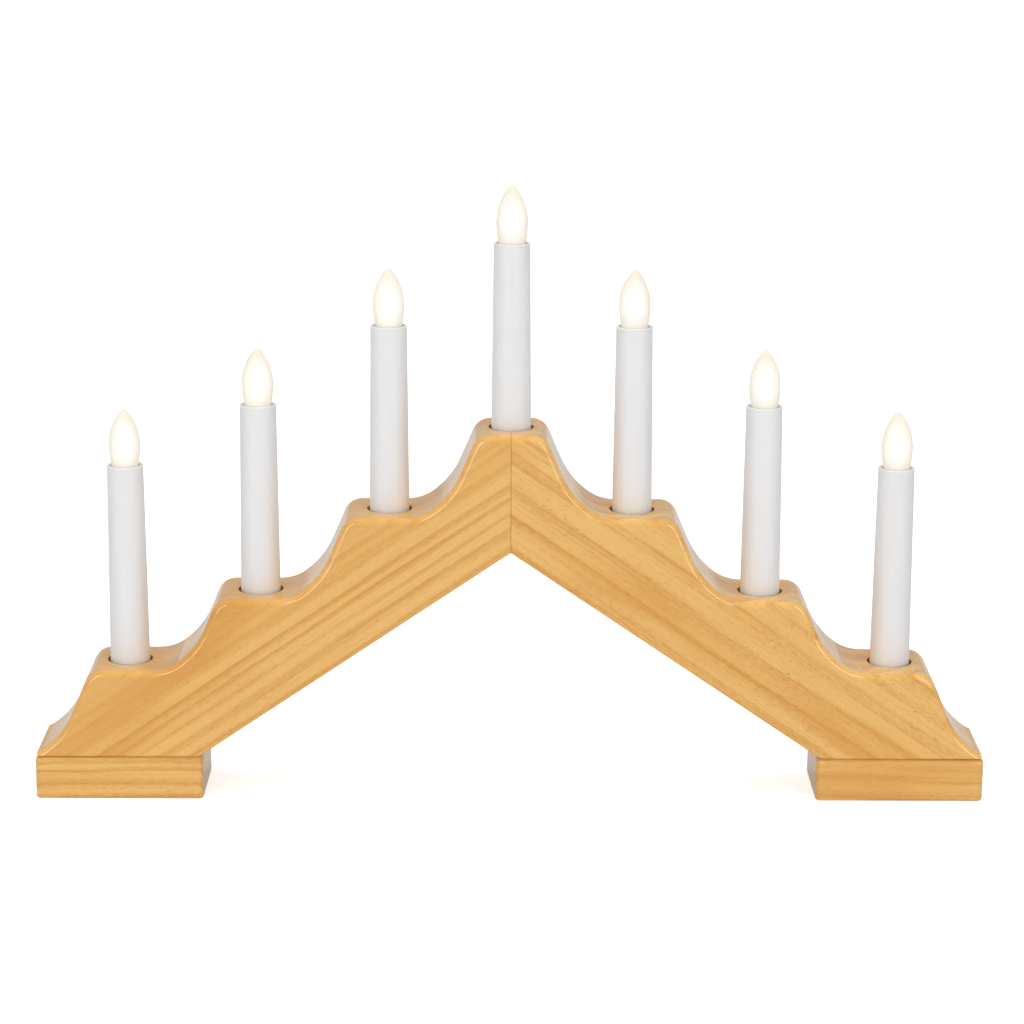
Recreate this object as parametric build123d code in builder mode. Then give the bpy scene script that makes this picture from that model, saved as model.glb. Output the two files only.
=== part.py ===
from build123d import *
from math import atan2, cos, degrees, radians, sin, tan
import os

os.makedirs("parts", exist_ok=True)

# Electric candle arch: two stepped boards mitred together on two feet, with seven lamps.
# X runs to the right, Y to the back and Z up. The origin is on the table, midway between the feet.
# All lengths are in millimetres and all angles in degrees.

# Wooden frame: the feet reach past the outer lamps, which makes the arch 430 wide
frame_depth = 42.0
foot_height = 20.0
foot_length = 76.0
foot_overhang = 42.0
foot_edge_radius = 2.5
foot_corner_radius = 2.5
foot_base_radius = 1.0

# Steps of a board: the spans between lamp axes and the drops between flats, from the middle outwards,
# and the rise of the outer flat above the foot
inner_span = 54.5
middle_span = 58.5
outer_span = 60.0
inner_drop = 37.8
middle_drop = 37.9
outer_drop = 33.3
outer_rise = 40.2
peak_flat_reach = 9.3
inner_flat_reach = 13.1
middle_flat_reach = 12.7
outer_flat_reach = 10.5

# Swept drop below each flat: a rounded shoulder, a straight riser and a cove of two radii
shoulder_radius = 8.6
riser_angle = 67.0
upper_cove_radius = 39.0
cove_joint_angle = 37.0
lower_cove_radius = 20.0
edge_radius = 3.0

# Underside of a board
apex_height = 116.0
toe_inset = 1.7
toe_radius = 5.0
lower_edge_radius = 1.0
board_end_inset = 1.0

# Wiring groove and its cover
groove_width = 9.0
groove_depth = 10.0
groove_end_margin = 5.0
cover_width = 19.0
cover_thickness = 2.0
cover_end_margin = 3.0
cover_gap = 0.1
tack_shank_radius = 0.6
tack_length = 8.0
tack_head_radius = 1.6
tack_head_thickness = 0.5
tack_place_shares = (0.12, 0.5, 0.88)

# Dowels and screws
dowel_radius = 4.0
dowel_length = 40.0
dowel_spacing = 26.0
dowel_end_room = 0.5
dowel_rise_share = 0.6
screw_shank_radius = 2.0
screw_head_radius = 4.0
screw_head_height = 2.4
screw_recess = 0.6
screw_length = 30.0
screw_point_length = 3.0
screw_spacing = 24.0
inner_screw_margin = 11.0
outer_screw_margin = 15.0

# Lamp holes: how far a tube stands below its flat, and the bores around it
peak_seat_depth = 17.0
inner_seat_depth = 16.3
middle_seat_depth = 14.4
outer_seat_depth = 9.1
hole_radius = 10.2
wire_bore_radius = 4.5
seat_disc_thickness = 3.0
spigot_height = 11.0
spigot_bore_radius = 4.5

# Candle tube
tube_length = 100.0
tube_base_radius = 9.08
tube_top_radius = 8.13
tube_wall = 0.9
tube_lip_radius = 6.75
tube_lip_thickness = 1.2
tube_rim_radius = 0.4

# Lampholder, hung under the lip of the tube
holder_length = 18.5
holder_neck_radius = 6.4
holder_neck_depth = 3.5
shell_length = 10.0
shell_wall = 0.4
holder_chamber_radius = 4.0
holder_chamber_depth = 2.5
contact_thickness = 0.4
contact_width = 3.0
contact_length = 6.0

# Bulb: heights are measured from the rim of the tube
bulb_widest_radius = 7.05
bulb_widest_height = 9.1
bulb_rim_radius = 6.05
bulb_crown_radius = 24.5
bulb_cone_angle = 40
bulb_tip_radius = 1.42
bulb_glass_wall = 0.7
bulb_inner_tip_radius = 0.72
cap_top_depth = 4.5
cap_length = 9.5
cap_radius = 4.7
cap_socket_depth = 3.2
cap_socket_radius = 4.3
cap_taper_length = 1.5
cap_base_radius = 2.6
bulb_neck_radius = 4.25
tip_radius = 2.0
tip_height = 1.2

# Wires and the bush that the cord comes in by
wire_radius = 0.9
wire_lane_height = 6.0
wire_lane_spacing = 3.2
riser_spacing = 3.6
riser_join_height = 8.0
holder_wire_length = 1.0
wire_bend_radius = 2.5
wire_sweep_radius = 12.0
wire_run_share = 0.48
outlet_spacing = 12.0
outlet_wire_spacing = 3.0
bush_radius = 4.0
bush_bore_radius = 2.8
bush_flange_radius = 5.5
bush_flange_thickness = 1.5
bush_end_gap = 0.5

# Clearances, and the overrun that every cut has past a face
seat_clearance = 0.05
bulb_clearance = 0.15
contact_gap = 0.1
cut_overrun = 5.0

# Places that follow from the sizes above
step_offsets = (0.0, inner_span, inner_span + middle_span, inner_span + middle_span + outer_span)
step_drops = (inner_drop, middle_drop, outer_drop)
step_heights = tuple(
    foot_height + outer_rise + sum(step_drops[count:]) for count in range(len(step_offsets))
)
peak_height = step_heights[0]
flat_reaches = (peak_flat_reach, inner_flat_reach, middle_flat_reach, outer_flat_reach)
seat_depths = (peak_seat_depth, inner_seat_depth, middle_seat_depth, outer_seat_depth)
half_depth = frame_depth / 2
half_width = step_offsets[-1] + foot_overhang
board_end = half_width - board_end_inset
foot_centre = half_width - foot_length / 2
underside_reach = half_width - foot_length + toe_inset
underside_slope = atan2(apex_height - foot_height, underside_reach)
cover_end = underside_reach - cover_end_margin
outlet_offset = step_offsets[-1] + outlet_spacing
outlet_height = foot_height + wire_lane_height
groove_end = outlet_offset + groove_end_margin
lamp_count = 2 * len(step_offsets) - 1


def lower_line(reach, lift=0.0):
    """Height of the line that runs `lift` above the slanted underside, `reach` from the mitre."""
    return apex_height + lift / cos(underside_slope) - reach * tan(underside_slope)


def lane_bend(lift):
    """Distance from the mitre at which a line `lift` above the lower outline turns level."""
    return (lower_line(0, lift) - foot_height - lift) / tan(underside_slope)


def lane_height(reach, lift):
    """Height of a line `lift` above the lower outline, slanted first and then level over the foot."""
    return max(lower_line(abs(reach), lift), foot_height + lift)


def tube_radius(height):
    """Outer radius of the tapered tube at a height above its lower end."""
    return tube_base_radius + (tube_top_radius - tube_base_radius) * height / tube_length


def tube_bore_radius(height):
    """Inner radius of the tapered tube at a height above its lower end."""
    return tube_radius(height) - tube_wall


def write_piece(piece, name):
    """Label a finished piece and write it as the node of that name."""
    piece.label = name
    export_step(piece, f"parts/{name}.step")


def draw_swept_drop(start, drop):
    """Draw shoulder, riser and cove down from the end of a flat, and return where the cove lands."""
    shoulder_fall = shoulder_radius * (1 - cos(radians(riser_angle)))
    upper_fall = upper_cove_radius * (cos(radians(cove_joint_angle)) - cos(radians(riser_angle)))
    lower_fall = lower_cove_radius * (1 - cos(radians(cove_joint_angle)))
    riser_length = (drop - shoulder_fall - upper_fall - lower_fall) / sin(radians(riser_angle))
    shoulder = JernArc(start, (1, 0), shoulder_radius, -riser_angle)
    riser = Line(shoulder @ 1, shoulder @ 1 + (shoulder % 1) * riser_length)
    upper_cove = JernArc(riser @ 1, riser % 1, upper_cove_radius, riser_angle - cove_joint_angle)
    lower_cove = JernArc(upper_cove @ 1, upper_cove % 1, lower_cove_radius, cove_joint_angle)
    return lower_cove @ 1


def draw_flame(widest, crown, tip, neck, neck_bottom):
    """Draw one wall of the bulb as a closed half outline around its axis, from the rim of the tube."""
    cone = radians(bulb_cone_angle)
    belly = (bulb_widest_height ** 2 + (bulb_widest_radius - bulb_rim_radius) ** 2) / (
        2 * (bulb_widest_radius - bulb_rim_radius)
    )
    belly_radius = belly + widest - bulb_widest_radius
    belly_angle = degrees(atan2(bulb_widest_height, belly - bulb_widest_radius + bulb_rim_radius))
    cone_length = (widest - crown * (1 - cos(cone)) - tip * cos(cone)) / sin(cone)
    crown_arc = JernArc((widest, bulb_widest_height), (0, 1), crown, bulb_cone_angle)
    cone_line = Line(crown_arc @ 1, crown_arc @ 1 + (crown_arc % 1) * cone_length)
    tip_arc = JernArc(cone_line @ 1, cone_line % 1, tip, 90 - bulb_cone_angle)
    belly_arc = JernArc((widest, bulb_widest_height), (0, -1), belly_radius, -belly_angle)
    Polyline(belly_arc @ 1, (neck, -cap_top_depth), (neck, neck_bottom), (0, neck_bottom), tip_arc @ 1)


# Lower envelope of a board: slanted underside, rounded toe and the level seat on the foot
envelope_top = peak_height + cut_overrun
with BuildPart() as board_envelope:
    with BuildSketch(Plane.XZ) as envelope_outline:
        with BuildLine():
            Polyline(
                (0, apex_height),
                (underside_reach, foot_height),
                (board_end, foot_height),
                (board_end, envelope_top),
                (0, envelope_top),
                close=True,
            )
        make_face()
        toe = envelope_outline.vertices().sort_by_distance((underside_reach, foot_height))[0]
        fillet(toe, radius=toe_radius)
    extrude(amount=half_depth, both=True)
    envelope_edges = board_envelope.faces().filter_by(Axis.Y).edges()
    lower_edges = envelope_edges.filter_by_position(Axis.X, 0, board_end, inclusive=(False, False))
    fillet(lower_edges.filter_by_position(Axis.Z, 0, apex_height), radius=lower_edge_radius)

# Stepped board, drawn for the right and mirrored for the left
blank_base = foot_height - cut_overrun
with BuildPart() as stepped_board:
    with BuildSketch(Plane.XZ):
        with BuildLine():
            corner = (0, peak_height)
            for offset, height, reach, next_height in zip(
                step_offsets, step_heights, flat_reaches, step_heights[1:] + (foot_height,)
            ):
                shoulder_start = (offset + reach, height)
                Line(corner, shoulder_start)
                corner = draw_swept_drop(shoulder_start, height - next_height)
            Polyline(corner, (corner.X, blank_base), (0, blank_base), (0, peak_height))
        make_face()
    extrude(amount=half_depth, both=True)
    outline_edges = stepped_board.faces().filter_by(Axis.Y).edges()
    upper_edges = outline_edges.filter_by_position(Axis.X, 0, 2 * half_width, inclusive=(False, True))
    upper_edges = upper_edges.filter_by_position(Axis.Z, foot_height, envelope_top)
    fillet(upper_edges, radius=edge_radius)
    add(board_envelope.part, mode=Mode.INTERSECT)
    # Wiring groove in the underside, on over the foot to the cord's bush
    with BuildSketch(Plane.XZ):
        with BuildLine():
            Polyline(
                (-cut_overrun, lower_line(-cut_overrun, groove_depth)),
                (lane_bend(groove_depth), foot_height + groove_depth),
                (groove_end, foot_height + groove_depth),
                (groove_end, blank_base),
                (underside_reach, blank_base),
                (-cut_overrun, lower_line(0) - cut_overrun),
                close=True,
            )
        make_face()
    extrude(amount=groove_width / 2, both=True, mode=Mode.SUBTRACT)
    # Rebate for the cover strip
    rebate_end = cover_end + cover_gap
    with BuildSketch(Plane.XZ):
        with BuildLine():
            Polyline(
                (-cut_overrun, lower_line(-cut_overrun, cover_thickness)),
                (rebate_end, lower_line(rebate_end, cover_thickness)),
                (rebate_end, lower_line(rebate_end) - cut_overrun),
                (-cut_overrun, lower_line(0) - cut_overrun),
                close=True,
            )
        make_face()
    extrude(amount=cover_width / 2 + seat_clearance, both=True, mode=Mode.SUBTRACT)
    # Lamp holes, each with a wire bore down to the groove
    for offset, height, seat_depth in zip(step_offsets, step_heights, seat_depths):
        hole_floor = height - seat_depth - seat_disc_thickness
        with Locations((offset, 0, hole_floor)):
            Cylinder(
                hole_radius,
                height + cut_overrun - hole_floor,
                align=(Align.CENTER, Align.CENTER, Align.MIN),
                mode=Mode.SUBTRACT,
            )
        bore_base = lane_height(offset, wire_lane_height)
        with Locations((offset, 0, bore_base)):
            Cylinder(
                wire_bore_radius,
                hole_floor + cut_overrun - bore_base,
                align=(Align.CENTER, Align.CENTER, Align.MIN),
                mode=Mode.SUBTRACT,
            )
    # Dowel holes in the mitre
    peak_hole_floor = peak_height - peak_seat_depth - seat_disc_thickness
    dowel_height = apex_height + dowel_rise_share * (peak_hole_floor - apex_height)
    for side in (-1, 1):
        with Locations((0, side * dowel_spacing / 2, dowel_height)):
            Cylinder(
                dowel_radius + seat_clearance,
                dowel_length + 2 * dowel_end_room,
                rotation=(0, 90, 0),
                mode=Mode.SUBTRACT,
            )
    # Pilot holes for the foot screws
    inner_screw_offset = half_width - foot_length + inner_screw_margin
    outer_screw_offset = half_width - outer_screw_margin
    screw_places = ((inner_screw_offset, screw_spacing / 2), (outer_screw_offset, -screw_spacing / 2))
    for reach, shift in screw_places:
        with Locations((reach, shift, foot_height - cut_overrun)):
            Cylinder(
                screw_shank_radius + seat_clearance,
                screw_recess + screw_length - foot_height + cut_overrun + seat_clearance,
                align=(Align.CENTER, Align.CENTER, Align.MIN),
                mode=Mode.SUBTRACT,
            )
    # Holes for the tacks
    tack_ledge = (cover_width + groove_width) / 4
    tack_planes = []
    for index, share in enumerate(tack_place_shares):
        reach = share * cover_end
        shift = tack_ledge if index % 2 else -tack_ledge
        tack_planes.append(
            Plane(
                origin=(reach, shift, lower_line(reach)),
                x_dir=(0, 1, 0),
                z_dir=(sin(underside_slope), 0, cos(underside_slope)),
            )
        )
    with Locations(*tack_planes):
        Cylinder(
            tack_shank_radius + seat_clearance,
            tack_length + seat_clearance,
            align=(Align.CENTER, Align.CENTER, Align.MIN),
            mode=Mode.SUBTRACT,
        )

with BuildPart() as right_board:
    add(stepped_board.part)
write_piece(right_board.part, "right_board")

outlet_plane = Plane(origin=(-outlet_offset, half_depth, outlet_height), x_dir=(1, 0, 0), z_dir=(0, 1, 0))
bush_length = half_depth - groove_width / 2 - bush_end_gap
with BuildPart() as left_board:
    mirror(stepped_board.part, about=Plane.YZ)
    # Hole for the cord's bush, through the back into the groove
    with Locations(outlet_plane):
        Cylinder(
            bush_radius + seat_clearance,
            half_depth,
            align=(Align.CENTER, Align.CENTER, Align.MAX),
            mode=Mode.SUBTRACT,
        )
        Cylinder(
            bush_flange_radius + seat_clearance,
            bush_flange_thickness,
            align=(Align.CENTER, Align.CENTER, Align.MAX),
            mode=Mode.SUBTRACT,
        )
write_piece(left_board.part, "left_board")

with BuildPart() as cord_bush:
    with Locations(outlet_plane):
        Cylinder(bush_radius, bush_length, align=(Align.CENTER, Align.CENTER, Align.MAX))
        Cylinder(bush_flange_radius, bush_flange_thickness, align=(Align.CENTER, Align.CENTER, Align.MAX))
        Cylinder(
            bush_bore_radius,
            bush_length,
            align=(Align.CENTER, Align.CENTER, Align.MAX),
            mode=Mode.SUBTRACT,
        )
write_piece(cord_bush.part, "cord_bush")

# Feet
for side, name in ((-1, "left_foot"), (1, "right_foot")):
    with BuildPart() as foot:
        with Locations((side * foot_centre, 0, 0)):
            Box(foot_length, frame_depth, foot_height, align=(Align.CENTER, Align.CENTER, Align.MIN))
        fillet(foot.edges().filter_by(Axis.Z), radius=foot_corner_radius)
        fillet(foot.faces().sort_by(Axis.Z)[-1].edges(), radius=foot_edge_radius)
        fillet(foot.faces().sort_by(Axis.Z)[0].edges(), radius=foot_base_radius)
        for reach, shift in screw_places:
            with Locations((side * reach, shift, 0)):
                Cylinder(
                    screw_shank_radius + seat_clearance,
                    foot_height,
                    align=(Align.CENTER, Align.CENTER, Align.MIN),
                    mode=Mode.SUBTRACT,
                )
                Cylinder(
                    screw_head_radius + seat_clearance,
                    screw_recess,
                    align=(Align.CENTER, Align.CENTER, Align.MIN),
                    mode=Mode.SUBTRACT,
                )
            with Locations((side * reach, shift, screw_recess)):
                Cone(
                    screw_head_radius + seat_clearance,
                    screw_shank_radius + seat_clearance,
                    screw_head_height,
                    align=(Align.CENTER, Align.CENTER, Align.MIN),
                    mode=Mode.SUBTRACT,
                )
    write_piece(foot.part, name)

with BuildPart() as foot_screws:
    for side in (-1, 1):
        for reach, shift in screw_places:
            shank_length = screw_length - screw_point_length
            with Locations((side * reach, shift, screw_recess)):
                Cone(
                    screw_head_radius,
                    screw_shank_radius,
                    screw_head_height,
                    align=(Align.CENTER, Align.CENTER, Align.MIN),
                )
                Cylinder(
                    screw_shank_radius, shank_length, align=(Align.CENTER, Align.CENTER, Align.MIN)
                )
            with Locations((side * reach, shift, screw_recess + shank_length)):
                Cone(
                    screw_shank_radius,
                    0,
                    screw_point_length,
                    align=(Align.CENTER, Align.CENTER, Align.MIN),
                )
write_piece(foot_screws.part, "foot_screws")

with BuildPart() as mitre_dowels:
    for side in (-1, 1):
        with Locations((0, side * dowel_spacing / 2, dowel_height)):
            Cylinder(dowel_radius, dowel_length, rotation=(0, 90, 0))
write_piece(mitre_dowels.part, "mitre_dowels")

# Cover strips, flush in their rebates, and the tacks that hold them
with BuildPart() as groove_covers:
    with BuildSketch(Plane.XZ):
        with BuildLine():
            Polyline(
                (cover_gap, lower_line(cover_gap)),
                (cover_end, lower_line(cover_end)),
                (cover_end, lower_line(cover_end, cover_thickness)),
                (cover_gap, lower_line(cover_gap, cover_thickness)),
                close=True,
            )
        make_face()
    extrude(amount=cover_width / 2, both=True)
    with Locations(*tack_planes):
        Cylinder(
            tack_shank_radius + seat_clearance,
            tack_length,
            mode=Mode.SUBTRACT,
        )
    mirror(about=Plane.YZ)
write_piece(groove_covers.part, "groove_covers")

with BuildPart() as cover_tacks:
    with Locations(*tack_planes):
        Cylinder(tack_shank_radius, tack_length, align=(Align.CENTER, Align.CENTER, Align.MIN))
        Cylinder(
            tack_head_radius, tack_head_thickness, align=(Align.CENTER, Align.CENTER, Align.MAX)
        )
    mirror(about=Plane.YZ)
write_piece(cover_tacks.part, "cover_tacks")

# Seat: a disc on the floor of the lamp hole with a spigot up into the tube
with BuildPart() as tube_seat:
    Cylinder(
        hole_radius - seat_clearance,
        seat_disc_thickness,
        align=(Align.CENTER, Align.CENTER, Align.MAX),
    )
    Cone(
        tube_bore_radius(0) - seat_clearance,
        tube_bore_radius(spigot_height) - seat_clearance,
        spigot_height,
        align=(Align.CENTER, Align.CENTER, Align.MIN),
    )
    chamfer(tube_seat.edges().sort_by(Axis.Z)[-1], length=tube_wall)
    Cylinder(spigot_bore_radius, 2 * (spigot_height + seat_disc_thickness), mode=Mode.SUBTRACT)

# Candle tube: a tapered plastic tube with a lip at its top, open below
lip_base = tube_length - tube_lip_thickness
with BuildPart() as candle_tube:
    with BuildSketch(Plane.XZ) as tube_section:
        with BuildLine():
            Polyline(
                (tube_bore_radius(0), 0),
                (tube_radius(0), 0),
                (tube_top_radius, tube_length),
                (tube_lip_radius, tube_length),
                (tube_lip_radius, lip_base),
                (tube_bore_radius(lip_base), lip_base),
                close=True,
            )
        make_face()
        rim = tube_section.vertices().group_by(Axis.Y)[-1]
        fillet(rim, radius=tube_rim_radius)
    revolve(axis=Axis.Z)

# Lampholder: a cup wedged under the lip, with a neck recess, a shell bore and a contact chamber
shell_radius = cap_radius + bulb_clearance + shell_wall
shell_top = lip_base - holder_neck_depth
shell_base = shell_top - shell_length
chamber_floor = shell_base - holder_chamber_depth
holder_base = lip_base - holder_length
wire_places = ((-riser_spacing / 2, -wire_lane_spacing / 2), (riser_spacing / 2, -wire_lane_spacing / 2))
last_wire_places = (wire_places[0], (riser_spacing / 2, wire_lane_spacing / 2))
with BuildPart() as lampholder:
    with Locations((0, 0, holder_base)):
        Cone(
            tube_bore_radius(holder_base) - seat_clearance,
            tube_bore_radius(lip_base) - seat_clearance,
            holder_length,
            align=(Align.CENTER, Align.CENTER, Align.MIN),
        )
    for radius, top, base in (
        (holder_neck_radius, lip_base + cut_overrun, shell_top),
        (shell_radius + seat_clearance, shell_top, shell_base),
        (holder_chamber_radius, shell_base, chamber_floor),
    ):
        with Locations((0, 0, base)):
            Cylinder(
                radius,
                top - base,
                align=(Align.CENTER, Align.CENTER, Align.MIN),
                mode=Mode.SUBTRACT,
            )
    for across, shift in wire_places + last_wire_places[1:]:
        with Locations((across, shift, holder_base - cut_overrun)):
            Cylinder(
                wire_radius + seat_clearance,
                cut_overrun + holder_wire_length,
                align=(Align.CENTER, Align.CENTER, Align.MIN),
                mode=Mode.SUBTRACT,
            )

# Threaded shell and the sprung centre contact under the bulb's tip
tip_base = tube_length - cap_top_depth - cap_length - tip_height
pad_top = tip_base - contact_gap
with BuildPart() as socket_contacts:
    with Locations((0, 0, shell_base)):
        Cylinder(shell_radius, shell_length, align=(Align.CENTER, Align.CENTER, Align.MIN))
        Cylinder(
            shell_radius - shell_wall,
            shell_length,
            align=(Align.CENTER, Align.CENTER, Align.MIN),
            mode=Mode.SUBTRACT,
        )
    with BuildSketch(Plane.XZ):
        with BuildLine() as contact_bend:
            Polyline(
                (contact_length / 2, chamber_floor + contact_thickness / 2),
                (-contact_length / 2, chamber_floor + contact_thickness / 2),
                (-contact_width / 2, pad_top - contact_thickness / 2),
                (contact_width / 2, pad_top - contact_thickness / 2),
            )
        trace(contact_bend.line, line_width=contact_thickness)
    extrude(amount=contact_width / 2, both=True)

# Bulb: glass, screw cap and tip contact
with BuildPart() as bulb_glass:
    with BuildSketch(Plane.XZ):
        with BuildLine():
            draw_flame(
                bulb_widest_radius,
                bulb_crown_radius,
                bulb_tip_radius,
                bulb_neck_radius,
                -cap_top_depth - cap_socket_depth,
            )
        make_face()
        with BuildLine():
            draw_flame(
                bulb_widest_radius - bulb_glass_wall,
                bulb_crown_radius - bulb_glass_wall,
                bulb_inner_tip_radius,
                bulb_neck_radius - bulb_glass_wall,
                -cap_top_depth - cap_socket_depth,
            )
        make_face(mode=Mode.SUBTRACT)
    revolve(axis=Axis.Z)

cap_base = -cap_top_depth - cap_length
with BuildPart() as bulb_cap:
    with BuildSketch(Plane.XZ):
        with BuildLine():
            Polyline(
                (0, cap_base),
                (cap_base_radius, cap_base),
                (cap_radius, cap_base + cap_taper_length),
                (cap_radius, -cap_top_depth),
                (cap_socket_radius, -cap_top_depth),
                (cap_socket_radius, -cap_top_depth - cap_socket_depth),
                (0, -cap_top_depth - cap_socket_depth),
                close=True,
            )
        make_face()
    revolve(axis=Axis.Z)

with BuildPart() as bulb_tip:
    with Locations((0, 0, cap_base - tip_height)):
        Cone(tip_radius / 2, tip_radius, tip_height, align=(Align.CENTER, Align.CENTER, Align.MIN))

# One set of pieces for each lamp, numbered from the left
lamp_places = []
for number in range(1, lamp_count + 1):
    place = number - len(step_offsets)
    step = abs(place)
    side = 1 if place > 0 else -1
    lamp_places.append((side * step_offsets[step], step_heights[step] - seat_depths[step]))

with BuildPart() as tube_seats:
    for offset, base in lamp_places:
        with Locations((offset, 0, base)):
            add(tube_seat.part)
write_piece(tube_seats.part, "tube_seats")

for number, (offset, base) in enumerate(lamp_places, start=1):
    for pattern, name, lift in (
        (candle_tube, "candle_tube", 0),
        (lampholder, "lampholder", 0),
        (socket_contacts, "socket_contacts", 0),
        (bulb_glass, "bulb_glass", tube_length),
        (bulb_cap, "bulb_cap", tube_length),
        (bulb_tip, "bulb_tip", tube_length),
    ):
        with BuildPart() as lamp_piece:
            with Locations((offset, 0, base + lift)):
                add(pattern.part)
        write_piece(lamp_piece.part, f"{name}_{number}")
    # Two wires from the groove up into the lampholder
    with BuildPart() as riser_wires:
        for across, shift in last_wire_places if number == lamp_count else wire_places:
            join = lane_height(offset + across, wire_lane_height) + riser_join_height
            with Locations((offset + across, shift, join)):
                Cylinder(
                    wire_radius,
                    base + holder_base + holder_wire_length - join,
                    align=(Align.CENTER, Align.CENTER, Align.MIN),
                )
    write_piece(riser_wires.part, f"riser_wires_{number}")

# Wires in the groove: one from lamp to lamp, one back to the bush, and one in from the bush
front_lane = -wire_lane_spacing / 2
back_lane = wire_lane_spacing / 2
level_bend = lane_bend(wire_lane_height)


def lane_point(reach, lane, lift=0.0):
    """Point on the wires' lane in the groove, `lift` above it."""
    return (reach, lane, lane_height(reach, wire_lane_height) + lift)


def lane_run(start, end, lane):
    """Points of a wire along its lane from `start` to `end`, with one where the groove bends between."""
    bends = [bend for bend in (-level_bend, 0.0, level_bend) if min(start, end) < bend < max(start, end)]
    if start > end:
        bends.reverse()
    return [lane_point(reach, lane) for reach in [start] + bends + [end]]


def bend_radii(route):
    """Radius at each corner of a route: tight at the first and last, wide between, as its runs allow."""
    corners = [Vector(*point) for point in route]
    radii = []
    for before, corner, after in zip(corners, corners[1:], corners[2:]):
        half_turn = radians((corner - before).get_angle(after - corner)) / 2
        shorter_run = min((corner - before).length, (after - corner).length)
        at_end = before == corners[0] or after == corners[-1]
        wanted = wire_bend_radius if at_end else wire_sweep_radius
        radii.append(min(wanted, wire_run_share * shorter_run / tan(half_turn)))
    return radii


wire_routes = []
for (start_offset, _), (end_offset, _) in zip(lamp_places, lamp_places[1:]):
    start = start_offset + riser_spacing / 2
    end = end_offset - riser_spacing / 2
    first = lane_point(start, front_lane, riser_join_height)
    last = lane_point(end, front_lane, riser_join_height)
    wire_routes.append([first] + lane_run(start, end, front_lane) + [last])

feed_reach = -outlet_offset - outlet_wire_spacing / 2
return_reach = -outlet_offset + outlet_wire_spacing / 2
first_riser = lamp_places[0][0] - riser_spacing / 2
last_riser = lamp_places[-1][0] + riser_spacing / 2
feed_wire = [lane_point(feed_reach, groove_width / 2)] + lane_run(feed_reach, first_riser, front_lane)
wire_routes.append(feed_wire + [lane_point(first_riser, front_lane, riser_join_height)])
return_wire = lane_run(last_riser, return_reach, back_lane) + [lane_point(return_reach, groove_width / 2)]
wire_routes.append([lane_point(last_riser, back_lane, riser_join_height)] + return_wire)

with BuildPart() as groove_wires:
    for route in wire_routes:
        radii = bend_radii(route)
        with BuildLine() as wire_line:
            FilletPolyline(*route, radius=radii)
        with BuildSketch(Plane(origin=wire_line.line @ 0, z_dir=wire_line.line % 0)):
            Circle(wire_radius)
        sweep(path=wire_line.line)
        wire_length = sum(edge.length for edge in wire_line.edges())
        print(f"wire of {wire_length:.1f} mm, tightest bend {min(radii):.1f} mm")
write_piece(groove_wires.part, "groove_wires")
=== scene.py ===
"""Electric candle arch: finishes, small hardware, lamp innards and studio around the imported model.

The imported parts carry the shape. This script dresses each of them, makes the threads, screw heads, wires
and glowing filaments that are finer than the solids, and sets up the floor, the light and the camera.
All lengths are in metres unless a name ends in `_mm`, and all angles are in degrees.
"""

import logging
import math
from dataclasses import dataclass, field
from enum import Enum
from typing import Sequence

import bmesh
import bpy
from mathutils import Matrix, Quaternion, Vector


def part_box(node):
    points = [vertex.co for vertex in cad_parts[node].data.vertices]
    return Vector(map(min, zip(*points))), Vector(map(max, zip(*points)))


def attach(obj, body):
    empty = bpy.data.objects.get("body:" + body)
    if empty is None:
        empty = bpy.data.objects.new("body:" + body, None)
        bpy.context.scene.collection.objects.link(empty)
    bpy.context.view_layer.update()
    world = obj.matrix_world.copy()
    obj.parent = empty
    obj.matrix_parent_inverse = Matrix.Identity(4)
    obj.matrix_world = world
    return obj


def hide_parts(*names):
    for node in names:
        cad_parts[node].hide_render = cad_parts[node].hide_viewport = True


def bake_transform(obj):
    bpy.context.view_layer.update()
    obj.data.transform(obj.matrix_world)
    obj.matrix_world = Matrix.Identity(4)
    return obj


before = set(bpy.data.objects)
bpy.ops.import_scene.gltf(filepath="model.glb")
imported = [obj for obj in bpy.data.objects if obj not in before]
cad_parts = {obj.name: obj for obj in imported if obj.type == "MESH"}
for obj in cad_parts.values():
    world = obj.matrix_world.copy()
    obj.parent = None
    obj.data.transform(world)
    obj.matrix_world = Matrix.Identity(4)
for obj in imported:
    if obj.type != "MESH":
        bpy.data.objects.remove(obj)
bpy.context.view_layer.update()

log = logging.getLogger("candle_arch")

MM = 0.001
LAMP_COUNT = 7
WELD_DISTANCE = 1e-6

Colour = tuple[float, float, float]
Socket = bpy.types.NodeSocket


class Part(Enum):
    """The wooden pieces, each with its own cut of timber."""

    LEFT_BOARD = "left_board"
    RIGHT_BOARD = "right_board"
    LEFT_FOOT = "left_foot"
    RIGHT_FOOT = "right_foot"


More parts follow.
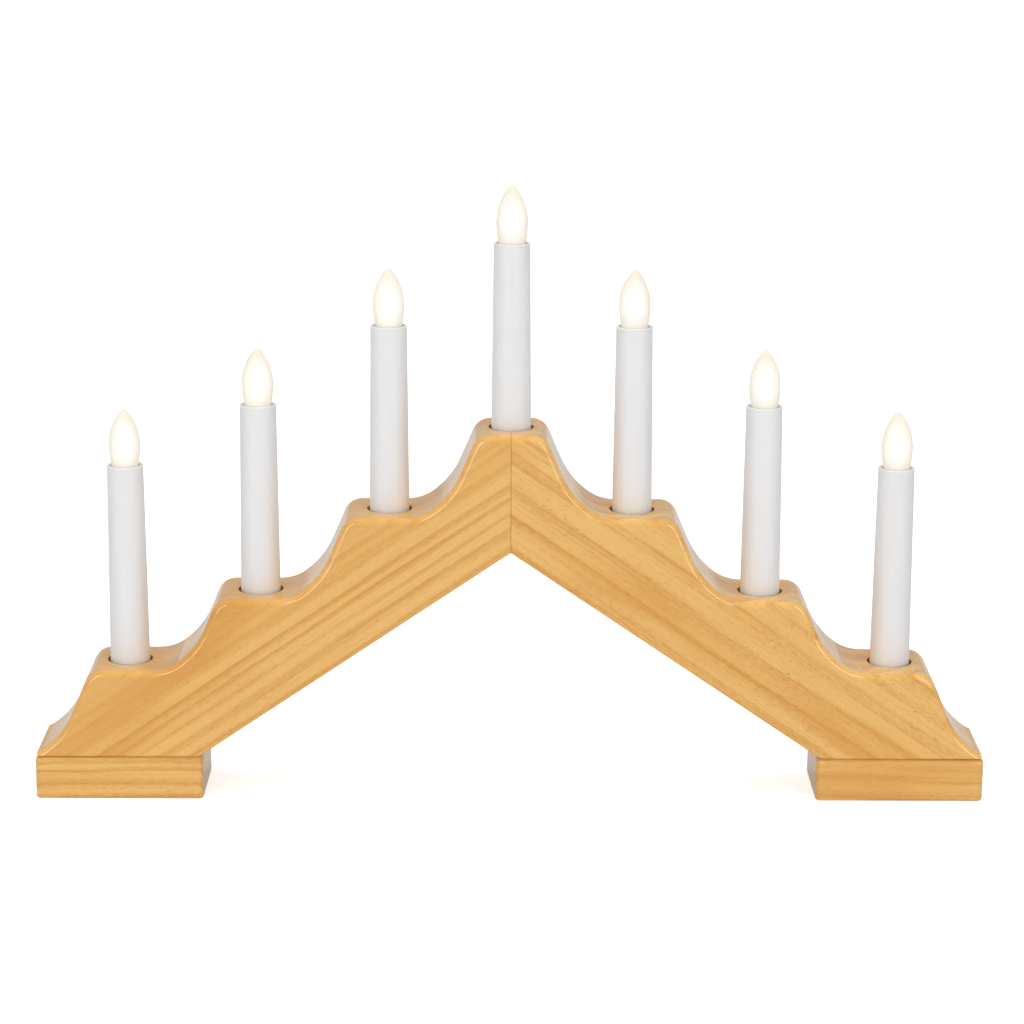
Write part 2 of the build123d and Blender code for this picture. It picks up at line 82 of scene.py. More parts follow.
class NodeSketch:
    """Short calls for adding and joining the nodes of one tree."""

    def __init__(self, tree: bpy.types.NodeTree) -> None:
        """Work on the given tree."""
        self.tree = tree

    def add(self, kind: str, **settings: object) -> bpy.types.Node:
        """Add a node.

        Args:
            kind: The node's type name.
            settings: Properties of the node, set as they are.

        Returns:
            The new node.
        """
        node = self.tree.nodes.new(kind)
        for name, value in settings.items():
            setattr(node, name, value)
        return node

    def feed(self, socket: Socket, value: object) -> None:
        """Link another socket into a socket, or set it to a plain value."""
        if isinstance(value, bpy.types.NodeSocket):
            self.tree.links.new(value, socket)
        elif value is not None:
            socket.default_value = value

    def math(self, operation: str, *values: object, clamp: bool = False) -> Socket:
        """Add a Math node and return its output.

        Args:
            operation: The node's operation.
            values: Up to three inputs, each a socket or a number.
            clamp: Whether the result is held between 0 and 1.

        Returns:
            The result's socket.
        """
        node = self.add("ShaderNodeMath", operation=operation, use_clamp=clamp)
        for socket, value in zip(node.inputs, values):
            self.feed(socket, value)
        return node.outputs[0]

    def plus(self, first: object, second: object, clamp: bool = False) -> Socket:
        """The sum of two values."""
        return self.math("ADD", first, second, clamp=clamp)

    def less(self, first: object, second: object, clamp: bool = False) -> Socket:
        """The first value less the second."""
        return self.math("SUBTRACT", first, second, clamp=clamp)

    def times(self, first: object, second: object, clamp: bool = False) -> Socket:
        """The product of two values."""
        return self.math("MULTIPLY", first, second, clamp=clamp)

    def vector(self, operation: str, *values: object) -> Socket:
        """Add a Vector Math node and return its first output."""
        node = self.add("ShaderNodeVectorMath", operation=operation)
        for socket, value in zip(node.inputs, values):
            self.feed(socket, value)
        return node.outputs["Value" if operation in ("LENGTH", "DOT_PRODUCT") else 0]

    def mix(self, factor: object, first: object, second: object, blend: str = "MIX") -> Socket:
        """Mix two colours.

        Args:
            factor: How much of the second colour, as a socket or a number.
            first: The first colour, a socket or four numbers.
            second: The second colour, a socket or four numbers.
            blend: The blend type.

        Returns:
            The mixed colour's socket.
        """
        node = self.add("ShaderNodeMix", data_type="RGBA", blend_type=blend)
        self.feed(node.inputs["Factor"], factor)
        self.feed(node.inputs[6], first)
        self.feed(node.inputs[7], second)
        return node.outputs[2]

    def noise(self, vector: object, scale: object, detail: float, roughness: float = 0.5) -> Socket:
        """Add a Noise Texture and return its value."""
        node = self.add("ShaderNodeTexNoise")
        self.feed(node.inputs["Vector"], vector)
        self.feed(node.inputs["Scale"], scale)
        node.inputs["Detail"].default_value = detail
        node.inputs["Roughness"].default_value = roughness
        return node.outputs["Fac"]

    def ramp(self, factor: object, stops: Sequence[tuple[float, float]]) -> Socket:
        """Add a ramp of plain values, given as places from 0 to 1 with their values."""
        node = self.add("ShaderNodeValToRGB")
        elements = node.color_ramp.elements
        while len(elements) < len(stops):
            elements.new(0.5)
        for element, (place, value) in zip(elements, stops):
            element.position = place
            element.color = (value, value, value, 1.0)
        self.feed(node.inputs["Fac"], factor)
        return node.outputs["Color"]

    def spread(self, value: object, low: float, high: float, to_low: float, to_high: float) -> Socket:
        """Map a value from one range to another, held within the second."""
        node = self.add("ShaderNodeMapRange")
        self.feed(node.inputs["Value"], value)
        for name, number in (("From Min", low), ("From Max", high), ("To Min", to_low), ("To Max", to_high)):
            node.inputs[name].default_value = number
        return node.outputs["Result"]


class ShaderGroup:
    """A shader node group with named inputs and outputs, built once and shared by the materials."""

    name: str = ""
    inputs: Sequence[tuple[str, str, object]] = ()
    outputs: Sequence[tuple[str, str]] = ()

    def __init__(self) -> None:
        """Build the group's tree."""
        self.tree = bpy.data.node_groups.new(self.name, "ShaderNodeTree")
        for name, kind, default in self.inputs:
            socket = self.tree.interface.new_socket(name=name, in_out="INPUT", socket_type=kind)
            if default is not None:
                socket.default_value = default
        for name, kind in self.outputs:
            self.tree.interface.new_socket(name=name, in_out="OUTPUT", socket_type=kind)
        sketch = NodeSketch(self.tree)
        given = sketch.add("NodeGroupInput")
        result = sketch.add("NodeGroupOutput")
        for name, socket in self.build(sketch, given.outputs).items():
            self.tree.links.new(socket, result.inputs[name])

    def build(self, sketch: NodeSketch, given: bpy.types.NodeOutputs) -> dict[str, Socket]:
        """Fill the tree and return the sockets that feed its outputs."""
        raise NotImplementedError

    def place(self, sketch: NodeSketch, **values: object) -> bpy.types.NodeOutputs:
        """Place the group in a material.

        Args:
            sketch: The material's tree.
            values: Inputs by name, with underscores for spaces.

        Returns:
            The group node's outputs.
        """
        node = sketch.add("ShaderNodeGroup")
        node.node_tree = self.tree
        for name, value in values.items():
            sketch.feed(node.inputs[name.replace("_", " ")], value)
        return node.outputs


class WoodGrain(ShaderGroup):
    """Growth rings, fibres, tone drift and resin flecks of softwood, on coordinates along the grain.

    X runs along the grain, Y across the face and Z into the wood, in millimetres.
    """

    name = "wood_grain"
    inputs = (
        ("Vector", "NodeSocketVector", None),
        ("Ring Width", "NodeSocketFloat", 6.0),
        ("Pith Height", "NodeSocketFloat", 160.0),
        ("Pith Depth", "NodeSocketFloat", 60.0),
        ("Waviness", "NodeSocketFloat", 2.0),
        ("Contrast", "NodeSocketFloat", 1.0),
        ("Calm From", "NodeSocketFloat", 300.0),
        ("Calm To", "NodeSocketFloat", 320.0),
        ("Fibre", "NodeSocketFloat", 1.0),
        ("Flecks", "NodeSocketFloat", 1.0),
        ("Seed", "NodeSocketFloat", 0.0),
        ("Early Colour", "NodeSocketColor", (0.9, 0.57, 0.23, 1.0)),
        ("Late Colour", "NodeSocketColor", (0.69, 0.34, 0.08, 1.0)),
        ("Warm Colour", "NodeSocketColor", (0.69, 0.32, 0.08, 1.0)),
        ("Fleck Colour", "NodeSocketColor", (0.3, 0.13, 0.04, 1.0)),
    )
    outputs = (("Color", "NodeSocketColor"), ("Height", "NodeSocketFloat"), ("Gloss Mask", "NodeSocketFloat"))

    def build(self, sketch: NodeSketch, given: bpy.types.NodeOutputs) -> dict[str, Socket]:
        """Fill the tree: warp, rings, fibres, tone and flecks, in that order."""
        seed_offset = sketch.add("ShaderNodeCombineXYZ")
        for socket, factor in zip(seed_offset.inputs, (37.0, 11.0, 5.0)):
            sketch.feed(socket, sketch.times(given["Seed"], factor))
        place = sketch.vector("ADD", given["Vector"], seed_offset.outputs[0])

        def stretched(along: float, across: float, through: float) -> Socket:
            return sketch.vector("MULTIPLY", place, (along, across, through))

        slow = sketch.noise(stretched(0.0055, 0.022, 0.022), 1.0, 2.0)
        quick = sketch.noise(stretched(0.022, 0.11, 0.11), 1.0, 2.0)
        drift = sketch.times(sketch.less(slow, 0.5), sketch.times(given["Waviness"], 5.0))
        ripple = sketch.times(sketch.less(quick, 0.5), given["Waviness"])
        split = sketch.add("ShaderNodeSeparateXYZ")
        sketch.feed(split.inputs[0], given["Vector"])
        height = sketch.less(split.outputs["Y"], given["Pith Height"])
        depth = sketch.less(split.outputs["Z"], given["Pith Depth"])
        squares = sketch.plus(sketch.times(height, height), sketch.times(depth, depth))
        radius = sketch.plus(sketch.plus(sketch.math("SQRT", squares), drift), ripple)
        # Rings of uneven width: the count runs faster and slower along the radius
        count = sketch.math("DIVIDE", radius, given["Ring Width"])
        wander = sketch.add("ShaderNodeTexNoise", noise_dimensions="1D")
        sketch.feed(wander.inputs["W"], sketch.plus(count, given["Seed"]))
        wander.inputs["Scale"].default_value = 0.45
        wander.inputs["Detail"].default_value = 2.0
        count = sketch.plus(count, sketch.times(wander.outputs["Fac"], 0.9))
        ring = sketch.math("FRACT", count)
        strength = sketch.add("ShaderNodeTexWhiteNoise", noise_dimensions="1D")
        sketch.feed(strength.inputs["W"], sketch.plus(sketch.math("FLOOR", count), given["Seed"]))
        ring_strength = sketch.spread(strength.outputs["Value"], 0.0, 1.0, 0.4, 1.0)
        profile = sketch.ramp(
            ring, ((0.0, 0.3), (0.09, 0.0), (0.36, 0.08), (0.6, 0.55), (0.8, 1.0), (0.92, 1.0), (1.0, 0.3))
        )
        late = sketch.times(sketch.times(profile, ring_strength), given["Contrast"], clamp=True)
        # The rings are fainter and the tone is warmer in the calm zone
        calm = sketch.math(
            "DIVIDE", sketch.less(sketch.plus(split.outputs["Y"], drift), given["Calm From"]),
            sketch.less(given["Calm To"], given["Calm From"]), clamp=True,
        )
        late = sketch.times(late, sketch.less(1.0, sketch.times(calm, 0.55)))
        # Fibres run along the grain
        fine = sketch.noise(stretched(0.3, 2.2, 2.2), 1.0, 3.0, 0.65)
        coarse = sketch.noise(stretched(0.012, 0.7, 0.7), 1.0, 3.0, 0.6)
        fibre = sketch.plus(sketch.times(fine, 0.5), sketch.times(coarse, 0.5))
        fibre = sketch.times(sketch.spread(fibre, 0.35, 0.65, -1.0, 1.0), given["Fibre"])
        late = sketch.plus(late, sketch.times(fibre, 0.32), clamp=True)
        colour = sketch.mix(late, given["Early Colour"], given["Late Colour"])
        # Warmer patches, long along the grain
        patch = sketch.noise(stretched(0.009, 0.045, 0.045), 1.0, 2.0)
        warm = sketch.plus(sketch.spread(patch, 0.5, 0.7, 0.0, 0.65), sketch.times(calm, 0.3), clamp=True)
        colour = sketch.mix(warm, colour, given["Warm Colour"])
        # Short dark resin flecks
        spots = sketch.noise(stretched(0.26, 2.7, 2.7), 1.0, 1.0)
        zones = sketch.noise(stretched(0.02, 0.06, 0.06), 1.0, 0.0)
        fleck = sketch.times(sketch.spread(spots, 0.66, 0.74, 0.0, 1.0), sketch.spread(zones, 0.38, 0.6, 0.1, 1.0))
        fleck = sketch.times(fleck, sketch.times(given["Flecks"], 0.5), clamp=True)
        colour = sketch.mix(fleck, colour, given["Fleck Colour"])
        relief = sketch.less(sketch.times(late, -0.6), sketch.times(fleck, 1.5))
        relief = sketch.plus(relief, sketch.times(fine, 0.35))
        return {"Color": colour, "Height": relief, "Gloss Mask": late}


class MouldedSurface(ShaderGroup):
    """Faint flow and fine mould texture of moulded plastic."""

    name = "moulded_surface"
    inputs = (
        ("Vector", "NodeSocketVector", None),
        ("Base Colour", "NodeSocketColor", (0.8, 0.8, 0.8, 1.0)),
        ("Tint Colour", "NodeSocketColor", (0.7, 0.7, 0.7, 1.0)),
        ("Texture Size", "NodeSocketFloat", 0.6),
        ("Smooth Roughness", "NodeSocketFloat", 0.3),
        ("Dull Roughness", "NodeSocketFloat", 0.4),
    )
    outputs = (("Color", "NodeSocketColor"), ("Roughness", "NodeSocketFloat"), ("Height", "NodeSocketFloat"))

    def build(self, sketch: NodeSketch, given: bpy.types.NodeOutputs) -> dict[str, Socket]:
        """Fill the tree: slow tint, uneven gloss and fine relief."""
        flow = sketch.noise(sketch.vector("MULTIPLY", given["Vector"], (1.0, 1.0, 0.25)), 0.09, 2.0)
        colour = sketch.mix(sketch.spread(flow, 0.35, 0.7, 0.0, 1.0), given["Base Colour"], given["Tint Colour"])
        smear = sketch.noise(given["Vector"], 0.22, 3.0)
        spread = sketch.less(given["Dull Roughness"], given["Smooth Roughness"])
        rough = sketch.plus(given["Smooth Roughness"], sketch.times(smear, spread))
        grain = sketch.noise(given["Vector"], sketch.math("DIVIDE", 1.0, given["Texture Size"]), 2.0)
        return {"Color": colour, "Roughness": rough, "Height": grain}


class WorkedMetal(ShaderGroup):
    """Drawn, rolled or plated metal: fine scratches along one way and a drift in its plating."""

    name = "worked_metal"
    inputs = (
        ("Vector", "NodeSocketVector", None),
        ("Bright Colour", "NodeSocketColor", (0.8, 0.6, 0.3, 1.0)),
        ("Dull Colour", "NodeSocketColor", (0.6, 0.45, 0.2, 1.0)),
        ("Polished", "NodeSocketFloat", 0.2),
        ("Tarnished", "NodeSocketFloat", 0.45),
    )
    outputs = (("Color", "NodeSocketColor"), ("Roughness", "NodeSocketFloat"), ("Height", "NodeSocketFloat"))

    def build(self, sketch: NodeSketch, given: bpy.types.NodeOutputs) -> dict[str, Socket]:
        """Fill the tree: tarnish drives colour and roughness, scratches drive the relief."""
        scratches = sketch.noise(sketch.vector("MULTIPLY", given["Vector"], (0.4, 0.4, 9.0)), 1.0, 3.0)
        tarnish = sketch.spread(sketch.noise(given["Vector"], 0.5, 3.0), 0.4, 0.7, 0.0, 1.0)
        colour = sketch.mix(tarnish, given["Bright Colour"], given["Dull Colour"])
        spread = sketch.less(given["Tarnished"], given["Polished"])
        rough = sketch.plus(given["Polished"], sketch.times(tarnish, spread))
        return {"Color": colour, "Roughness": rough, "Height": scratches}


@dataclass(frozen=True)
class Workshop:
    """The shared shader groups."""

    wood: WoodGrain = field(default_factory=WoodGrain)
    moulded: MouldedSurface = field(default_factory=MouldedSurface)
    metal: WorkedMetal = field(default_factory=WorkedMetal)


def millimetre_place(sketch: NodeSketch) -> Socket:
    """Object coordinates in millimetres."""
    place = sketch.add("ShaderNodeTexCoord")
    return sketch.vector("MULTIPLY", place.outputs["Object"], (1000.0,) * 3)


def new_material(name: str) -> tuple[bpy.types.Material, NodeSketch, bpy.types.Node]:
    """Make a material with a Principled shader.

    Args:
        name: The material's name.

    Returns:
        The material, its tree and its shader.
    """
    material = bpy.data.materials.new(name)
    material.use_nodes = True
    sketch = NodeSketch(material.node_tree)
    return material, sketch, material.node_tree.nodes["Principled BSDF"]


def bump(sketch: NodeSketch, shader: bpy.types.Node, height: Socket, depth_mm: float) -> None:
    """Feed a relief of the given depth to the shader's normal."""
    node = sketch.add("ShaderNodeBump")
    node.inputs["Strength"].default_value = 1.0
    node.inputs["Distance"].default_value = depth_mm * MM
    sketch.feed(node.inputs["Height"], height)
    sketch.feed(shader.inputs["Normal"], node.outputs["Normal"])


@dataclass(frozen=True)
class TimberFinish:
    """Clear-lacquered softwood, cut so that its grain runs at one angle on one piece."""

    name: str
    grain_angle: float
    ring_width: float
    pith_height: float
    pith_depth: float
    waviness: float
    seed: float
    contrast: float = 1.0
    calm_from: float = 300.0
    calm_to: float = 320.0
    fibre: float = 1.0
    flecks: float = 1.0
    early: Colour = (0.81, 0.475, 0.135)
    late: Colour = (0.61, 0.265, 0.035)
    warm: Colour = (0.66, 0.295, 0.045)
    fleck: Colour = (0.30, 0.115, 0.02)
    roughness: float = 0.5
    lacquer: float = 1.0
    lacquer_roughness: float = 0.07
    mitre_line: float = 0.0

    def build(self, shop: Workshop) -> bpy.types.Material:
        """Make the material."""
        material, sketch, shader = new_material(self.name)
        place = millimetre_place(sketch)
        turn = sketch.add("ShaderNodeMapping", vector_type="TEXTURE")
        sketch.feed(turn.inputs["Vector"], place)
        turn.inputs["Rotation"].default_value = (0.0, -math.radians(self.grain_angle), 0.0)
        # The board's height becomes Y of the grain and its depth becomes Z
        parts = sketch.add("ShaderNodeSeparateXYZ")
        sketch.feed(parts.inputs[0], turn.outputs[0])
        grain_place = sketch.add("ShaderNodeCombineXYZ")
        for target, source in zip(("X", "Y", "Z"), ("X", "Z", "Y")):
            sketch.feed(grain_place.inputs[target], parts.outputs[source])
        wood = shop.wood.place(
            sketch,
            Vector=grain_place.outputs[0],
            Ring_Width=self.ring_width,
            Pith_Height=self.pith_height,
            Pith_Depth=self.pith_depth,
            Waviness=self.waviness,
            Contrast=self.contrast,
            Calm_From=self.calm_from,
            Calm_To=self.calm_to,
            Fibre=self.fibre,
            Flecks=self.flecks,
            Seed=self.seed,
            Early_Colour=(*self.early, 1.0),
            Late_Colour=(*self.late, 1.0),
            Warm_Colour=(*self.warm, 1.0),
            Fleck_Colour=(*self.fleck, 1.0),
        )
        colour = wood["Color"]
        if self.mitre_line > 0.0:
            across = sketch.add("ShaderNodeSeparateXYZ")
            sketch.feed(across.inputs[0], place)
            near = sketch.math("ABSOLUTE", across.outputs["X"])
            line = sketch.spread(near, 0.08, 0.34, self.mitre_line, 0.0)
            colour = sketch.mix(line, colour, (*self.fleck, 1.0))
        sketch.feed(shader.inputs["Base Color"], colour)
        rough = sketch.spread(wood["Gloss Mask"], 0.0, 1.0, self.roughness, self.roughness - 0.08)
        sketch.feed(shader.inputs["Roughness"], rough)
        shader.inputs["IOR"].default_value = 1.45
        shader.inputs["Specular IOR Level"].default_value = 0.15
        shader.inputs["Coat Weight"].default_value = self.lacquer
        shader.inputs["Coat Roughness"].default_value = self.lacquer_roughness
        shader.inputs["Coat IOR"].default_value = 1.6
        bump(sketch, shader, wood["Height"], 0.03)
        return material


@dataclass(frozen=True)
class PlasticFinish:
    """Moulded plastic."""

    name: str
    base: Colour
    tint: Colour
    smooth: float
    dull: float
    texture_mm: float = 0.6
    relief_mm: float = 0.004
    ior: float = 1.49
    coat: float = 0.0

    def build(self, shop: Workshop) -> bpy.types.Material:
        """Make the material."""
        material, sketch, shader = new_material(self.name)
        surface = shop.moulded.place(
            sketch,
            Vector=millimetre_place(sketch),
            Base_Colour=(*self.base, 1.0),
            Tint_Colour=(*self.tint, 1.0),
            Texture_Size=self.texture_mm,
            Smooth_Roughness=self.smooth,
            Dull_Roughness=self.dull,
        )
        sketch.feed(shader.inputs["Base Color"], surface["Color"])
        sketch.feed(shader.inputs["Roughness"], surface["Roughness"])
        shader.inputs["IOR"].default_value = self.ior
        shader.inputs["Coat Weight"].default_value = self.coat
        shader.inputs["Coat Roughness"].default_value = 0.12
        bump(sketch, shader, surface["Height"], self.relief_mm)
        return material


@dataclass(frozen=True)
class MetalFinish:
    """Plated, drawn or pressed metal."""

    name: str
    bright: Colour
    dull: Colour
    polished: float
    tarnished: float
    relief_mm: float = 0.006

    def build(self, shop: Workshop) -> bpy.types.Material:
        """Make the material."""
        material, sketch, shader = new_material(self.name)
        surface = shop.metal.place(
            sketch,
            Vector=millimetre_place(sketch),
            Bright_Colour=(*self.bright, 1.0),
            Dull_Colour=(*self.dull, 1.0),
            Polished=self.polished,
            Tarnished=self.tarnished,
        )
        sketch.feed(shader.inputs["Base Color"], surface["Color"])
        sketch.feed(shader.inputs["Roughness"], surface["Roughness"])
        shader.inputs["Metallic"].default_value = 1.0
        bump(sketch, shader, surface["Height"], self.relief_mm)
        return material


@dataclass(frozen=True)
class FrostedGlass:
    """Thin frosted glass, lit from inside: whitest beside the filament, peach at its edge and tip."""

    name: str
    tint: Colour
    core: Colour
    edge: Colour
    transmission: float
    roughness: float
    filament_height: float
    glow_near_mm: float
    glow_far_mm: float

    def build(self, shop: Workshop, lamp_x: float, rim_height: float) -> bpy.types.Material:
        """Make the material of one bulb.

        Args:
            shop: The shared groups.
            lamp_x: The lamp's place along the arch.
            rim_height: The height of the tube's rim.

        Returns:
            The material.
        """
        material, sketch, shader = new_material(self.name)
        place = millimetre_place(sketch)
        filament = (lamp_x / MM, 0.0, (rim_height + self.filament_height) / MM)
        away = sketch.vector("LENGTH", sketch.vector("SUBTRACT", place, filament))
        near = sketch.spread(away, self.glow_near_mm, self.glow_far_mm, 1.0, 0.0)
        look = sketch.add("ShaderNodeLayerWeight")
        look.inputs["Blend"].default_value = 0.5
        rim = sketch.times(sketch.math("POWER", look.outputs["Facing"], 1.1), 1.5)
        middle = sketch.less(1.0, rim, clamp=True)
        frost = shop.moulded.place(
            sketch,
            Vector=place,
            Base_Colour=(*self.tint, 1.0),
            Tint_Colour=(*(0.96 * value for value in self.tint), 1.0),
            Texture_Size=0.25,
            Smooth_Roughness=self.roughness,
            Dull_Roughness=self.roughness + 0.12,
        )
        sketch.feed(shader.inputs["Base Color"], frost["Color"])
        sketch.feed(shader.inputs["Roughness"], frost["Roughness"])
        shader.inputs["IOR"].default_value = 1.45
        shader.inputs["Specular IOR Level"].default_value = 0.2
        shader.inputs["Transmission Weight"].default_value = self.transmission
        light = sketch.mix(sketch.times(near, middle), (*self.edge, 1.0), (*self.core, 1.0))
        sketch.feed(shader.inputs["Emission Color"], light)
        shader.inputs["Emission Strength"].default_value = 1.0
        return material


@dataclass(frozen=True)
class Glow:
    """Plain warm light: the hot filament, and the faint painted glow of the glass stem beside it."""

    name: str
    colour: Colour
    strength: float

    def build(self) -> bpy.types.Material:
        """Make the material."""
        material, _, shader = new_material(self.name)
        shader.inputs["Base Color"].default_value = (*self.colour, 1.0)
        shader.inputs["Roughness"].default_value = 0.6
        shader.inputs["Emission Color"].default_value = (*self.colour, 1.0)
        shader.inputs["Emission Strength"].default_value = self.strength
        return material


@dataclass(frozen=True)
class Lamp:
    """Where one lamp stands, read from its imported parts."""

    number: int
    x: float
    rim: float
    tube_base: float

    @classmethod
    def read(cls, number: int) -> "Lamp":
        """Read a lamp's place from the boxes of its tube."""
        low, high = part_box(f"candle_tube_{number}")
        return cls(number, (low.x + high.x) / 2, high.z, low.z)

    @property
    def tube_body(self) -> str:
        """The body of the tube and what it holds."""
        return f"tube_{self.number}"

    @property
    def bulb_body(self) -> str:
        """The body of the glass and the cap."""
        return f"bulb_{self.number}"


def dress(node: str, material: bpy.types.Material) -> None:
    """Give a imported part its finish."""
    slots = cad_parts[node].data.materials
    slots.clear()
    slots.append(material)
    log.info("dressed %s", node)


def plain_mesh(source: bpy.types.Object, name: str, smooth_angle: float = 35.0) -> bpy.types.Object:
    """Turn the evaluated object into a plain mesh object and remove the source.

    Args:
        source: The object with its modifier.
        name: The name of the result.
        smooth_angle: Edges flatter than this are shaded smooth.

    Returns:
        The new object, with no modifier.
    """
    bpy.context.view_layer.update()
    evaluated = source.evaluated_get(bpy.context.evaluated_depsgraph_get())
    mesh = bpy.data.meshes.new_from_object(evaluated)
    bpy.data.objects.remove(source)
    result = bpy.data.objects.new(name, mesh)
    bpy.context.scene.collection.objects.link(result)
    for polygon in mesh.polygons:
        polygon.use_smooth = True
    mesh.set_sharp_from_angle(angle=math.radians(smooth_angle))
    return result


class GeometryTree:
    """A Geometry Nodes tree with named inputs, whose result becomes a plain mesh."""

    name: str = ""
    inputs: Sequence[tuple[str, str, object]] = ()

    def __init__(self) -> None:
        """Build the tree, ending in Realize Instances and Set Material."""
        self.tree = bpy.data.node_groups.new(self.name, "GeometryNodeTree")
        self.sockets: dict[str, str] = {}
        for name, kind, default in self.inputs:
            socket = self.tree.interface.new_socket(name=name, in_out="INPUT", socket_type=kind)
            if default is not None:
                socket.default_value = default
            self.sockets[name] = socket.identifier
        finish = self.tree.interface.new_socket(name="Finish", in_out="INPUT", socket_type="NodeSocketMaterial")
        self.sockets["Finish"] = finish.identifier
        self.tree.interface.new_socket(name="Geometry", in_out="OUTPUT", socket_type="NodeSocketGeometry")
        sketch = NodeSketch(self.tree)
        given = sketch.add("NodeGroupInput")
        shape = self.build(sketch, given.outputs)
        realize = sketch.add("GeometryNodeRealizeInstances")
        sketch.feed(realize.inputs["Geometry"], shape)
        paint = sketch.add("GeometryNodeSetMaterial")
        sketch.feed(paint.inputs["Geometry"], realize.outputs["Geometry"])
        sketch.feed(paint.inputs["Material"], given.outputs["Finish"])
        sketch.feed(sketch.add("NodeGroupOutput").inputs["Geometry"], paint.outputs["Geometry"])

    def build(self, sketch: NodeSketch, given: bpy.types.NodeOutputs) -> Socket:
        """Fill the tree and return the socket of its geometry."""
        raise NotImplementedError

    def make(self, name: str, finish: bpy.types.Material, **values: object) -> bpy.types.Object:
        """Run the tree and return its result as a plain mesh.

        Args:
            name: The name of the result.
            finish: The material that the tree sets.
            values: Inputs by name, with underscores for spaces.

        Returns:
            The mesh object, in the shared frame.
        """
        carrier = bpy.data.objects.new(name + "_source", bpy.data.meshes.new(name + "_source"))
        bpy.context.scene.collection.objects.link(carrier)
        modifier = carrier.modifiers.new("build", "NODES")
        modifier.node_group = self.tree
        modifier[self.sockets["Finish"]] = finish
        for key, value in values.items():
            modifier[self.sockets[key.replace("_", " ")]] = value
        return plain_mesh(carrier, name)


class ThreadedSleeve(GeometryTree):
    """A thin sleeve with a rolled round thread: a grid wrapped round the axis, its wall waved by a helix."""

    name = "threaded_sleeve"
    inputs = (
        ("Place", "NodeSocketVector", (0.0, 0.0, 0.0)),
        ("Radius", "NodeSocketFloat", 0.0045),
        ("Length", "NodeSocketFloat", 0.0095),
        ("Pitch", "NodeSocketFloat", 0.0018),
        ("Thread Depth", "NodeSocketFloat", 0.0003),
        ("Runout", "NodeSocketFloat", 0.0012),
        ("End Swell", "NodeSocketFloat", -0.5),
        ("Wall", "NodeSocketFloat", 0.0003),
    )

    def build(self, sketch: NodeSketch, given: bpy.types.NodeOutputs) -> Socket:
        """Fill the tree."""
        grid = sketch.add("GeometryNodeMeshGrid")
        for name, value in (("Size X", 1.0), ("Size Y", 1.0), ("Vertices X", 49), ("Vertices Y", 65)):
            sketch.feed(grid.inputs[name], value)
        position = sketch.add("GeometryNodeInputPosition")
        split = sketch.add("ShaderNodeSeparateXYZ")
        sketch.feed(split.inputs[0], position.outputs[0])
        share_round = sketch.plus(split.outputs["X"], 0.5)
        share_up = sketch.plus(split.outputs["Y"], 0.5)
        turn = sketch.times(share_round, math.tau)
        height = sketch.times(share_up, given["Length"])
        # The thread's turn depends on the height above the ground, so that sleeves on one axis mesh
        foot = sketch.add("ShaderNodeSeparateXYZ")
        sketch.feed(foot.inputs[0], given["Place"])
        turns_up = sketch.math("DIVIDE", sketch.plus(foot.outputs["Z"], height), given["Pitch"])
        phase = sketch.less(sketch.times(turns_up, math.tau), turn)
        from_end = sketch.math("MINIMUM", height, sketch.less(given["Length"], height))
        fade = sketch.math("DIVIDE", from_end, given["Runout"], clamp=True)
        wave = sketch.times(sketch.less(sketch.math("COSINE", phase), 1.0), 0.5)
        share = sketch.plus(given["End Swell"], sketch.times(sketch.less(wave, given["End Swell"]), fade))
        swell = sketch.times(share, given["Thread Depth"])
        radius = sketch.plus(given["Radius"], swell)
        around = sketch.add("ShaderNodeCombineXYZ")
        sketch.feed(around.inputs["X"], sketch.times(radius, sketch.math("COSINE", turn)))
        sketch.feed(around.inputs["Y"], sketch.times(radius, sketch.math("SINE", turn)))
        sketch.feed(around.inputs["Z"], height)
        wrap = sketch.add("GeometryNodeSetPosition")
        sketch.feed(wrap.inputs["Geometry"], grid.outputs["Mesh"])
        sketch.feed(wrap.inputs["Position"], sketch.vector("ADD", around.outputs[0], given["Place"]))
        weld = sketch.add("GeometryNodeMergeByDistance")
        sketch.feed(weld.inputs["Geometry"], wrap.outputs["Geometry"])
        sketch.feed(weld.inputs["Distance"], WELD_DISTANCE)
        # The wall's inner side is pushed in along the normals, with a rim at each end
        thicken = sketch.add("GeometryNodeExtrudeMesh", mode="FACES")
        sketch.feed(thicken.inputs["Mesh"], weld.outputs["Geometry"])
        sketch.feed(thicken.inputs["Offset Scale"], sketch.times(given["Wall"], -1.0))
        sketch.feed(thicken.inputs["Individual"], False)
        both = sketch.add("GeometryNodeJoinGeometry")
        sketch.feed(both.inputs["Geometry"], weld.outputs["Geometry"])
        flip = sketch.add("GeometryNodeFlipFaces")
        sketch.feed(flip.inputs["Mesh"], thicken.outputs["Mesh"])
        sketch.feed(both.inputs["Geometry"], flip.outputs["Mesh"])
        close = sketch.add("GeometryNodeMergeByDistance")
        sketch.feed(close.inputs["Geometry"], both.outputs["Geometry"])
        sketch.feed(close.inputs["Distance"], WELD_DISTANCE)
        return close.outputs["Geometry"]


